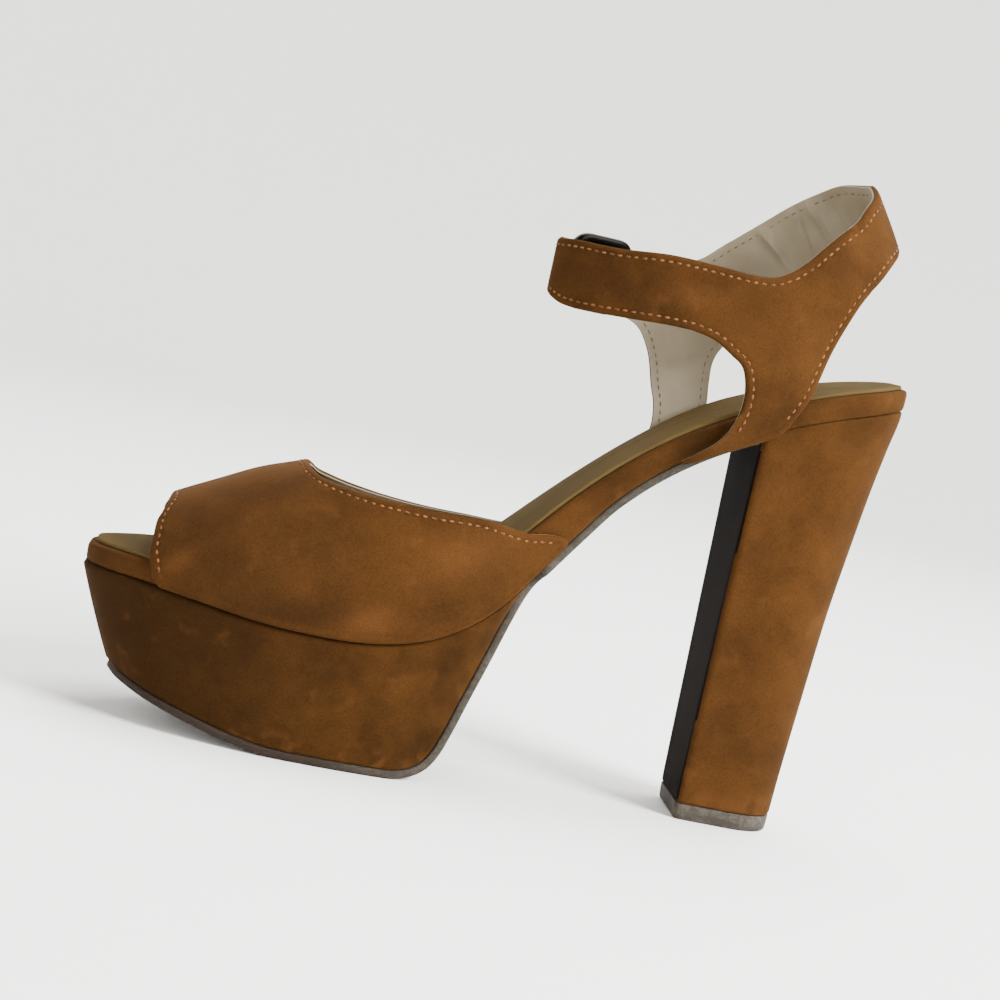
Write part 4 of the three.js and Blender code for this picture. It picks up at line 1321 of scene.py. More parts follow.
@dataclass
class Sole:
    """Board, sock, platform and outsole."""

    bed: FootBed
    finishes: Finishes
    outsole_thick: float = 2.4
    sock_thick: float = 1.3
    sock_inset: float = 1.9
    lip: float = 0.8
    taper: float = 1.6
    side_inset: float = 1.5
    waist_end: float = 0.468
    breast: float = 14.6
    toe_trim: float = 1.4
    # Where the painted shade on the outsole's side starts to deepen toward the toe.
    side_shade_from: float = 85.0
    flare_at: float = 32.0

    @cached_property
    def path(self) -> Points:
        """The outsole's lower face as a line: x, z, outer edge, inner edge, roll."""
        bed = self.bed
        depth = self.outsole_thick + bed.gap
        along = np.linspace(bed.x_of(0.17), bed.x_of(self.waist_end), 40)
        x, z = bed.sunk(along, bed.edge(along) + depth)
        outer, inner = bed.outer(along) - self.side_inset, bed.inner(along) - self.side_inset
        waist = np.stack([x, z, outer, inner, bed.roll(along)], axis=1)
        waist = waist[waist[:, 0] > self.breast]
        end = bed.x_of(TREAD[-1][0])
        middle = bed.x_of(0.6)
        rows = []
        for share, up, roll in TREAD:
            at = float(bed.x_of(share))
            reach = max(0.0, (at - middle) / (end - middle)) ** 2
            over = at + (float(bed.x_of(1)) - end) * reach
            down = min(1.0, max(0.0, 1 - up / 1.7))
            inset = self.side_inset + (self.taper - self.side_inset) * down
            lost = float(bed.roll(bed.x_of(self.waist_end))) * roll
            edges = float(bed.outer(over)) - inset, float(bed.inner(over)) - inset
            rows.append((at, up * bed.platform_height, *edges, lost))
        line = spline(np.vstack([waist, rows]), 1.0)
        line[:, 1] = np.maximum(line[:, 1], 0)
        return line

    @cached_property
    def lengths(self) -> np.ndarray:
        """Arc length along the outsole's path."""
        steps = np.linalg.norm(np.diff(self.path[:, :2], axis=0), axis=1)
        return np.concatenate([[0], np.cumsum(steps)])

    @cached_property
    def turn(self) -> float:
        """Arc length at which the outsole leaves the bed."""
        waist = self.path[:, 0] < self.bed.x_of(TREAD[0][0]) - 1.0
        return float(self.lengths[waist].max())

    def on_path(self, s: np.ndarray, y: np.ndarray, lift: float) -> Points:
        """Bend points of the outsole's flat pattern on its path.

        Args:
            s: Lengths along the path.
            y: Places across the shoe.
            lift: How far inside the lower face.

        Returns:
            The points in space.
        """
        x, z, outer, _, roll = (np.interp(s, self.lengths, column) for column in self.path.T)
        slope = np.gradient(self.path[:, :2], axis=0)
        slope /= np.linalg.norm(slope, axis=1, keepdims=True)
        ax, az = (np.interp(s, self.lengths, column) for column in slope.T)
        lean = np.clip(-y / np.maximum(outer, 1), 0, 1) ** 2
        return np.stack([x - az * lift, y, z + ax * lift - roll * lean], axis=1)

    @cached_property
    def side_line(self) -> Points:
        """The outsole's edge in its flat pattern, from the heel round the toe and back."""
        pick = np.linspace(0, len(self.path) - 1, 90).round().astype(int)
        outer = [(self.lengths[i], -self.path[i, 2]) for i in pick]
        inner = [(self.lengths[i], self.path[i, 3]) for i in pick]
        nose = (self.lengths[-1], (inner[-1][1] + outer[-1][1]) / 2)
        return spline([*outer, nose, *inner[::-1]], 1.3)

    def make_outsole(self) -> bpy.types.Object:
        """Build the rubber sheet with softly rounded edges.

        Returns:
            The outsole.
        """
        line = self.side_line
        rear = resample(np.vstack([line[-1:], line[:1]]), 12)[1:-1]
        loop = np.vstack([line, rear])
        lean = inward(loop)
        s = np.clip(loop[:, 0], 12, self.lengths[-1] - 12)
        middle = (np.interp(s, self.lengths, self.path[:, 3]) - np.interp(s, self.lengths, self.path[:, 2])) / 2
        spine = np.stack([s, middle], axis=1)
        thick = self.outsole_thick
        profile = [(0, 0.96, 0), (0, 0.66, 0), (0, 0.33, 0), (2.0, 0, 0), (0.7, 0, 0), (0.2, 0, 0.25), (0, 0, 0.8)]
        profile += [(0, 0, thick - 0.6), (0.15, 0, thick - 0.15), (0.5, 0, thick), (2.0, 0, thick)]
        profile += [(0, 0.5, thick), (0, 0.96, thick)]
        ahead = np.clip((loop[:, 0] - self.lengths[-1] + 25) / 25, 0, 1)[:, None]
        stack, side_shade = [], []
        for inset, share, lift in profile:
            plan = loop + lean * (inset + self.toe_trim * ahead**2)
            plan = plan + (spine - plan) * share
            stack.append(self.on_path(plan[:, 0], plan[:, 1], lift))
            # Painted shade: the outsole's side darkens toward the toe, away from the key light.
            side = 1.0 if inset < 0.6 and 0 < lift < thick and share == 0 else 0.0
            side_shade.append(side * np.clip((stack[-1][:, 0] - self.side_shade_from) / 40, 0.15, 0.9))
        skin = rings(stack, across=True)
        skin.marks = {"side_shade": np.concatenate(side_shade)}
        return skin.make("outsole_sheet", [self.finishes.outsole], weld=0.01)

    def make_board(self) -> bpy.types.Object:
        """Build the suede-covered board with its turned edge.

        Returns:
            The board.
        """
        edge = self.bed.edge
        profile = [(0, 0.96, edge), (0, 0.5, edge), (1.6, 0, edge), (0.75, 0, lambda x: edge(x) - 0.15)]
        profile += [(0.3, 0, lambda x: edge(x) - 0.6), (0.08, 0, lambda x: edge(x) - 1.4)]
        profile += [(0, 0, lambda x: edge(x) * 0.5)]
        for inset, depth in ((0.0, 1.6), (0.12, 1.0), (0.45, 0.45), (1.0, 0.12), (1.7, 0.0), (2.6, 0.0)):
            profile.append((inset, 0, lambda x, depth=depth: np.full_like(x, depth)))
        for share in (0.5, 0.96):
            profile.append((0, share, lambda x: np.zeros_like(x)))
        skin = self.bed.layer(profile)
        x, y, _ = skin.points.T
        # Painted shadow: the board's edge is darkened where the inner quarter's flare stands over it.
        flare_shadow = np.exp(-(((x - self.flare_at) / 8) ** 2)) * np.clip((y - 12) / 6, 0, 1)
        skin.marks = {"soil_and_shade": 0.9 * flare_shadow}
        return skin.make("covered_board", [self.finishes.suede], weld=0.01)

    def make_sock(self) -> bpy.types.Object:
        """Build the insole sock, dished a little under the heel.

        Returns:
            The sock.
        """
        bed, top, inset = self.bed, -self.sock_thick, self.sock_inset
        profile = [(0, 0.96, -0.05), (0, 0.5, -0.05), (inset + 0.6, 0, -0.05), (inset + 0.1, 0, -0.2)]
        profile += [(inset, 0, -0.6), (inset + 0.15, 0, top + 0.3), (inset + 0.5, 0, top + 0.06)]
        profile += [(inset + 1.0, 0, top), (inset + 2.2, 0, top)]

        def dished(x: np.ndarray, share: float) -> np.ndarray:
            """Give the sock's depth with its hollow under the heel."""
            seat = np.clip(1 - np.abs(x - bed.x_of(0.12)) / 42, 0, 1)
            return top + 0.9 * share * seat * seat * (3 - 2 * seat)

        levels = [(a, b, lambda x, c=c: np.full_like(x, c)) for a, b, c in profile]
        levels += [(0, share, lambda x, share=share: dished(x, share)) for share in (0.25, 0.5, 0.75, 0.96)]
        return bed.layer(levels).make("insole_sock_leather", [self.finishes.sock], weld=0.01)

    def make_platform(self) -> bpy.types.Object:
        """Build the suede-wrapped platform between board and outsole.

        Returns:
            The platform.
        """
        bed = self.bed
        line = self.side_line[self.side_line[:, 0] >= self.turn]
        low = self.on_path(line[:, 0], line[:, 1], self.outsole_thick + 0.08)
        plan = bed.outline - inward(bed.outline) * self.lip
        ahead = plan[plan[:, 0] > bed.x_of(0.462)]
        high = bed.place(ahead[:, 0], ahead[:, 1], bed.edge(ahead[:, 0]) + 0.12)

        def halves(curve: Points, power: float) -> Points:
            """Spread a curve's points evenly on either side of its foremost one."""
            nose = int(np.argmax(curve[:, 0]))
            sides = []
            for side in (curve[: nose + 1], curve[nose:][::-1]):
                run = np.concatenate([[0], np.cumsum(np.linalg.norm(np.diff(side, axis=0), axis=1))])
                share = np.linspace(0, 1, 150)
                at = run[-1] * (power * share + (1 - power) * share**2)
                sides.append(np.stack([np.interp(at, run, column) for column in side.T], axis=1))
            return np.vstack([sides[0], sides[1][::-1]])

        bottom, top = halves(low, 1.0), halves(high, 0.72)
        levels = ((0, 1.0), (0.003, 0.35), (0.01, 0.05), (0.03, 0), (0.15, -0.15), (0.3, -0.25), (0.5, -0.3))
        levels += ((0.7, -0.22), (0.85, -0.1), (0.94, 0), (0.972, 0.16), (0.99, 0.6), (1, 1.3))
        stack = []
        for share, inset in levels:
            ring = bottom + (top - bottom) * share
            lean = inward(ring[:, :2])
            fade = np.clip(np.linalg.norm(top - bottom, axis=1) / 12, 0, 1)[:, None]
            ring[:, :2] += lean * inset * fade
            stack.append(ring)
        skin = rings(stack, across=True)
        # Painted shade: the platform darkens toward the toe, the side turned away from the key light.
        skin.marks = {"soil_and_shade": np.clip((skin.points[:, 0] - 75) / 110, 0, 0.85)}
        return skin.make("covered_platform", [self.finishes.platform_suede])

    def build(self) -> list[tuple[bpy.types.Object, tuple[Node, ...], str]]:
        """Build every piece of the sole.

        Returns:
            Each piece with the nodes it stands for and its slot.
        """
        return [
            (self.make_board(), (Node.BOARD,), "suede"),
            (self.make_sock(), (Node.SOCK,), "lining"),
            (self.make_platform(), (Node.PLATFORM,), "suede"),
            (self.make_outsole(), (Node.OUTSOLE,), "outsole_rubber"),
        ]


# Heel

# From the tip to the seat. Columns: share of the heel height, how far the back edge has swept, straight share
# of the side.
SWEEP = (
    (0, 0, 0.5),
    (0.09, 0.03, 0.48),
    (0.18, 0.085, 0.45),
    (0.31, 0.175, 0.42),
    (0.48, 0.3, 0.38),
    (0.65, 0.51, 0.33),
    (0.77, 0.68, 0.29),
    (0.87, 0.86, 0.25),
    (0.94, 1.0, 0.22),
    (1.03, 1.03, 0.2),
)


@dataclass
class Heel:
    """The covered block and its rubber tip."""

    bed: FootBed
    finishes: Finishes
    tip_length: float = 31.8
    tip_width: float = 29.6
    tip_height: float = 4.8
    top_width: float = 48.6
    breast: float = 14.3
    corner: float = 1.1

    def section(self, z: float) -> Points:
        """Draw the block's outline at a height.

        Args:
            z: The height.

        Returns:
            A closed outline in plan, from the breast's middle round the outer side.
        """
        up = z / self.bed.heel_height
        swept = float(Run(tuple(r[0] for r in SWEEP), tuple(r[1] for r in SWEEP))(up))
        flat = float(Run(tuple(r[0] for r in SWEEP), tuple(r[2] for r in SWEEP))(up))
        tip_back = -self.tip_length / 2
        back = tip_back + (-self.bed.seat_back - tip_back) * swept
        half = (self.tip_width + (self.top_width - self.tip_width) * up) / 2
        turn = self.breast - (self.breast - back) * flat
        angles = np.linspace(0, math.pi / 2, 40)
        power = 2 / (2.4 + 0.5 * up)
        arc = np.stack([turn - (turn - back) * np.sin(angles) ** power, half * np.cos(angles) ** power], axis=1)
        front = [(self.breast, 0.0), (self.breast, half - 2 * self.corner), (self.breast, half - self.corner)]
        side = np.vstack([front, [(self.breast - self.corner, half), (self.breast - 2 * self.corner, half)], arc])
        side = resample(side, 90)
        whole = np.vstack([side, side[-2:0:-1] * (1, -1)])
        return soften(whole, 1.1, around=True)

    def make_block(self) -> bpy.types.Object:
        """Build the covered block up to the board's underside.

        Returns:
            The block.
        """
        bed = self.bed
        heights = np.linspace(0, bed.heel_height, 70)
        table = np.stack([self.section(z) for z in heights])
        places = np.linspace(bed.x_of(0) + 0.7, bed.x_of(0.3), 200)
        under_x, under_z = bed.sunk(places, bed.edge(places) + 0.06)

        def outline(z: np.ndarray) -> Points:
            """Read the block's outline with its own height for every point."""
            at = np.interp(z, heights, np.arange(len(heights)))
            i = np.clip(at.astype(int), 0, len(heights) - 2)
            k = np.arange(table.shape[1])
            share = (at - i)[:, None]
            return table[i, k] * (1 - share) + table[i + 1, k] * share

        top = np.full(table.shape[1], bed.heel_height)
        for _ in range(12):
            top = np.interp(outline(top)[:, 0], under_x, under_z)
        base = self.tip_height + 0.12
        stack = []
        for share, inset in ((0, 12), (0, 0.9), (0.002, 0.3), (0.007, 0.05), *((k / 44, 0) for k in range(1, 44))):
            stack.append(self.ring(outline(base + (top - base) * share), base + (top - base) * share, inset))
        for share, inset in ((0.995, 0.03), (0.999, 0.15), (1, 0.6)):
            stack.append(self.ring(outline(base + (top - base) * share), base + (top - base) * share, inset))
        middle = stack[-1].mean(0)
        stack.append(stack[-1] * 0 + np.array([middle[0], middle[1], np.interp(middle[0], under_x, under_z)]))
        stack[0] = stack[0] * 0 + stack[1].mean(0)
        skin = rings(stack)
        # Faces on the breast take the near-black suede, which is painted shade.
        ahead = skin.points[:, 0] > self.breast - 0.5
        skin.slots = [int(all(ahead[i] for i in face)) for face in skin.faces]
        return skin.make("covered_heel", [self.finishes.heel_suede, self.finishes.breast_suede], weld=0.01)

    @staticmethod
    def ring(plan: Points, z: np.ndarray | float, inset: float) -> Points:
        """Lift a plan outline to its height, drawn in by an inset."""
        drawn = plan + inward(plan) * inset
        return np.column_stack([drawn, np.broadcast_to(z, len(plan))])

    def make_tip(self) -> bpy.types.Object:
        """Build the rubber tip with worn lower edges.

        Returns:
            The tip.
        """
        plan, tall = self.section(0), self.tip_height
        stack = [self.ring(plan, z, inset) for z, inset in ((0, 1.2), (0.15, 0.6), (0.6, 0.25), (tall * 0.5, 0.1))]
        stack += [self.ring(plan, z, inset) for z, inset in ((tall - 0.3, 0), (tall - 0.05, 0.15), (tall, 0.6))]
        low, high = stack[0].mean(0), stack[-1].mean(0)
        stack = [stack[0] * 0 + low, stack[0] * 0.5 + low * 0.5] + stack + [stack[-1] * 0 + high]
        return rings(stack).make("heel_tip_rubber", [self.finishes.tip], weld=0.01)

    def build(self) -> list[tuple[bpy.types.Object, tuple[Node, ...], str]]:
        """Build the heel's pieces.

        Returns:
            Each piece with the nodes it stands for and its slot.
        """
        return [
            (self.make_block(), (Node.HEEL,), "suede"),
            (self.make_tip(), (Node.TIP,), "tip_rubber"),
        ]


# Upper

# The vamp's ridge, instep to toe. Columns: share of the run, height over the bed, lean to the inner side.
RIDGE = (
    (0.38, 0.97, 0.02),
    (0.45, 1.16, 0.05),
    (0.52, 1.38, 0.08),
    (0.57, 1.43, 0.11),
    (0.62, 1.37, 0.14),
    (0.69, 1.18, 0.17),
    (0.759, 0.985, 0.19),
    (0.8, 0.87, 0.2),
    (0.85, 0.685, 0.21),
    (0.905, 0.49, 0.22),
    (0.94, 0.37, 0.22),
)
# The throat edge. Columns: share of the run, height on the inner side, height on the outer side.
THROAT = (
    (0.4, -0.38, -0.46),
    (0.453, -0.04, -0.16),
    (0.48, 0.16, 0.02),
    (0.52, 0.47, 0.3),
    (0.58, 0.73, 0.56),
    (0.64, 0.86, 0.72),
    (0.7, 0.915, 0.83),
    (0.737, 0.955, 0.92),
    (0.759, 1.05, 1.05),
)
# The front edge from the seam up. Columns: share of the run, height over the bed.
FRONT = (
    (0.905, -0.4),
    (0.9085, -0.1),
    (0.9205, 0.08),
    (0.9195, 0.2),
    (0.9165, 0.35),
    (0.907, 0.5),
    (0.898, 0.66),
)


@dataclass
class VampForm(Form):
    """The forefoot's form. Its chart is the place along the bed and the length round the foot."""

    girths: np.ndarray = field(default_factory=lambda: np.ones(2))

    def girth(self, x: np.ndarray) -> np.ndarray:
        """Length round the foot from seam to seam."""
        return np.interp(x, self.us, self.girths)

    def locate(self, chart: Points) -> tuple[np.ndarray, np.ndarray]:
        """Give the place along the bed and the share of the girth."""
        return chart[:, 0], 0.5 + chart[:, 1] / self.girth(chart[:, 0])


@dataclass
class Vamp:
    """The wide forefoot piece, open at the toe and the throat."""

    bed: FootBed
    finishes: Finishes
    wall: float = 2.0
    rise: float = 36.4
    squareness: float = 2.35

    @cached_property
    def form(self) -> VampForm:
        """The form that the vamp is drawn over."""
        bed = self.bed
        ridge = Run(tuple(float(bed.x_of(r[0])) for r in RIDGE), tuple(r[1] * self.rise for r in RIDGE))
        leaned = Run(tuple(float(bed.x_of(r[0])) for r in RIDGE), tuple(r[2] * bed.ball_width / 2 for r in RIDGE))
        xs = np.linspace(bed.x_of(0.385), bed.x_of(0.965), 130)
        angles = np.linspace(0, math.pi, 400)
        shares = np.linspace(0, 1, 130)
        sections, girths = [], []
        for x in xs:
            foot_x, foot_z = (float(v) for v in bed.sunk(x, bed.edge(x)))
            lean = float(leaned(x))
            cos, sin = np.cos(angles), np.sin(angles)
            reach_out = -(float(bed.outer(x)) + 0.15 + self.wall + lean)
            reach_in = float(bed.inner(x)) + 0.15 + self.wall - lean
            power = 2 / self.squareness
            y = lean + np.where(cos > 0, reach_out, reach_in) * np.abs(cos) ** power
            height = float(bed.height(x)) + float(ridge(x)) - foot_z
            z = foot_z - np.clip(cos, 0, 1) * float(bed.roll(x)) + height * sin**power
            section = np.stack([np.full_like(y, foot_x), y, z], axis=1)
            even = resample(section, len(shares))
            sections.append(soften(even, 1.5))
            girths.append(float(np.linalg.norm(np.diff(even, axis=0), axis=1).sum()))
        points = soften(np.stack(sections), 1.5)
        return VampForm(xs, shares, points, girths=np.array(girths))

    @cached_property
    def outline(self) -> Points:
        """The cut outline in the chart: throat, inner seam, front edge, outer seam."""
        bed, form = self.bed, self.form

        def over(rows: Sequence[tuple[float, ...]], column: int) -> tuple[np.ndarray, np.ndarray]:
            """Give an edge's places and heights seen from the side."""
            x = bed.x_of(np.array([row[0] for row in rows]))
            return x, bed.height(x) + np.array([row[column] for row in rows]) * self.rise

        inner_x, inner_z = over(THROAT, 1)
        outer_x, outer_z = over(THROAT, 2)
        front_x, front_z = over(FRONT, 1)
        shares = form.vs
        back, ahead = [], []
        for j, share in enumerate(shares):
            line = form.points[:, j]
            mix = float(Run((0.35, 0.65), (0.0, 1.0))(share))
            high = (1 - mix) * np.interp(line[:, 0], outer_x, outer_z) + mix * np.interp(line[:, 0], inner_x, inner_z)
            beyond = np.flatnonzero(line[:, 2] > high)
            back.append(float(form.us[beyond.max()]) if len(beyond) else float(form.us[4]))
            past = np.flatnonzero(line[:, 0] > np.interp(line[:, 2], front_z, front_x))
            ahead.append(float(form.us[past.min()]) if len(past) else float(form.us[-3]))
        back_edge, front_edge = soften(np.array(back), 2.2), soften(np.array(ahead), 2.0)
        back_line = np.stack([back_edge, (shares - 0.5) * form.girth(back_edge)], axis=1)
        front_line = np.stack([front_edge, (shares - 0.5) * form.girth(front_edge)], axis=1)
        inner_seam = np.linspace(back_edge[-1], front_edge[-1], 60)[1:-1]
        outer_seam = np.linspace(front_edge[0], back_edge[0], 60)[1:-1]
        tuck = 0.5
        seams = [np.stack([x, side * tuck * form.girth(x)], axis=1) for x, side in ((inner_seam, 1), (outer_seam, -1))]
        loop = np.vstack([back_line[3:-3], seams[0], front_line[::-1][3:-3], seams[1]])
        return resample(loop, round(float(np.linalg.norm(np.diff(loop, axis=0), axis=1).sum() / 1.1)), closed=True)

    @cached_property
    def panel(self) -> Panel:
        """The vamp's panel."""
        seams = ((x, side * (0.5 * float(self.form.girth(x)) - 7)) for x in (108, 122, 136, 150, 162) for side in (1, -1))
        # The patches along the sole seams and the broad one toward the toe are painted shade; the rest darken the
        # suede in small patches and streaks.
        soils_and_shades = (
            *(Spot(at, (12, 10), 0.3) for at in seams),
            Spot((140, 36), (24, 22), 0.22),
            Spot((144, 25), (8, 5), 0.5, 20),
            Spot((157, 31), (7, 4), 0.4, 50),
            Spot((165, 35), (6, 3), 0.3, 30),
            Spot((133, 66), (14, 3), 0.75, -20),
            Spot((102, 74), (8, 3), 0.35, -10),
            Spot((150, -28), (9, 5), 0.35, -25),
            Spot((118, -66), (12, 3), 0.4, 15),
        )
        rubs = (
            Spot((115, 73), (7, 4), 0.5, -15),
            Spot((97, 60), (9, 7), 0.45, 10),
            Spot((168, 39), (4, 3), 0.4),
            Spot((125, 10), (10, 8), 0.3),
            Spot((108, -60), (9, 6), 0.35),
        )
        creases = (
            Crease((96, 20), (112, 34), 0.25, 3.5),
            Crease((98, 44), (120, 50), 0.2, 3.0),
            Crease((98, -24), (113, -38), 0.25, 3.5),
        )
        return Panel(self.form, self.outline, self.wall, creases, soils_and_shades=soils_and_shades, rubs=rubs)

    def stitched(self, chart: Points) -> np.ndarray:
        """Tell where the vamp's edge is stitched: throat and front, not the seams at the sole."""
        share = np.abs(chart[:, 1]) / self.form.girth(chart[:, 0])
        return share < 0.45

    def build(self) -> list[tuple[bpy.types.Object, tuple[Node, ...], str]]:
        """Build the vamp.

        Returns:
            The piece with the node it stands for and its slot.
        """
        piece = self.panel.build().make("vamp_suede", [self.finishes.suede, self.finishes.lining])
        return [(piece, (Node.VAMP,), "suede")]


# The strap loop over the seat. Columns: height over the seat, back end, front end, named width, half width.
LOOP = (
    (-0.75, -0.012, 0.485, "seat", 1.115),
    (-0.2, -0.012, 0.485, "seat", 1.115),
    (0.08, -0.008, 0.488, "ankle", 1.045),
    (0.4, 0.01, 0.488, "ankle", 1.0),
    (0.7, 0.049, 0.48, "ankle", 0.93),
    (1.02, 0.102, 0.46, "ankle", 0.83),
)
# The inner quarter from the flare's tip up its front and along the strap's lower edge. Columns: share of the
# run, what the height is over, height.
INNER_FRONT = (
    (0.2895, "bed", -0.122),
    (0.266, "bed", -0.11),
    (0.2475, "bed", -0.085),
    (0.235, "bed", -0.035),
    (0.2285, "bed", 0.035),
    (0.2275, "bed", 0.13),
    (0.2375, "bed", 0.272),
    (0.255, "seat", -0.012),
    (0.2785, "seat", 0.039),
    (0.304, "seat", 0.063),
    (0.335, "seat", 0.068),
    (0.4, "seat", 0.056),
    (0.45, "seat", 0.05),
    (0.473, "seat", 0.058),
)
# Its upper edge from the strap's front fold to the back.
INNER_TOP = (
    (0.47, "seat", 0.392),
    (0.42, "seat", 0.39),
    (0.352, "seat", 0.412),
    (0.29, "seat", 0.405),
    (0.25, "seat", 0.398),
    (0.222, "seat", 0.408),
    (0.203, "seat", 0.446),
    (0.184, "seat", 0.51),
    (0.164, "seat", 0.602),
    (0.144, "seat", 0.69),
    (0.123, "seat", 0.776),
    (0.1085, "seat", 0.87),
)
# The leg's rear edge from the back seam down and along its foot.
INNER_REAR = (
    (0.0585, "seat", 0.62),
    (0.075, "seat", 0.522),
    (0.0965, "seat", 0.394),
    (0.114, "seat", 0.243),
    (0.126, "seat", 0.11),
    (0.1355, "bed", 0.105),
    (0.1435, "bed", 0),
    (0.155, "bed", -0.072),
    (0.168, "bed", -0.14),
    (0.196, "bed", -0.165),
    (0.24, "bed", -0.165),
    (0.286, "bed", -0.142),
)
# The outer quarter: front of its leg, round its branch's end, and along its top to the back.
OUTER_FRONT = (
    (0.346, "bed", -0.125),
    (0.325, "bed", -0.1),
    (0.308, "bed", -0.04),
    (0.3, "bed", 0.03),
    (0.303, "seat", -0.36),
    (0.312, "seat", -0.265),
    (0.328, "seat", -0.085),
    (0.347, "seat", 0.018),
    (0.372, "seat", 0.06),
    (0.41, "seat", 0.06),
    (0.43, "seat", 0.085),
    (0.441, "seat", 0.15),
    (0.445, "seat", 0.25),
    (0.442, "seat", 0.33),
    (0.432, "seat", 0.378),
    (0.415, "seat", 0.392),
    (0.39, "seat", 0.392),
    (0.355, "seat", 0.395),
    (0.32, "seat", 0.406),
    (0.287, "seat", 0.435),
    (0.252, "seat", 0.554),
    (0.209, "seat", 0.708),
    (0.18, "seat", 0.815),
    (0.151, "seat", 0.904),
    (0.123, "seat", 0.975),
)
OUTER_REAR = (
    (0.062, "seat", 0.625),
    (0.088, "seat", 0.53),
    (0.128, "seat", 0.405),
    (0.176, "seat", 0.25),
    (0.21, "seat", 0.1),
    (0.23, "seat", -0.02),
    (0.2345, "seat", -0.09),
    (0.233, "seat", -0.2),
    (0.23, "bed", 0),
    (0.235, "bed", -0.08),
    (0.245, "bed", -0.15),
    (0.27, "bed", -0.165),
    (0.31, "bed", -0.162),
)


class Side(Enum):
    """The two sides of the shoe."""

    INNER = 1
    OUTER = -1


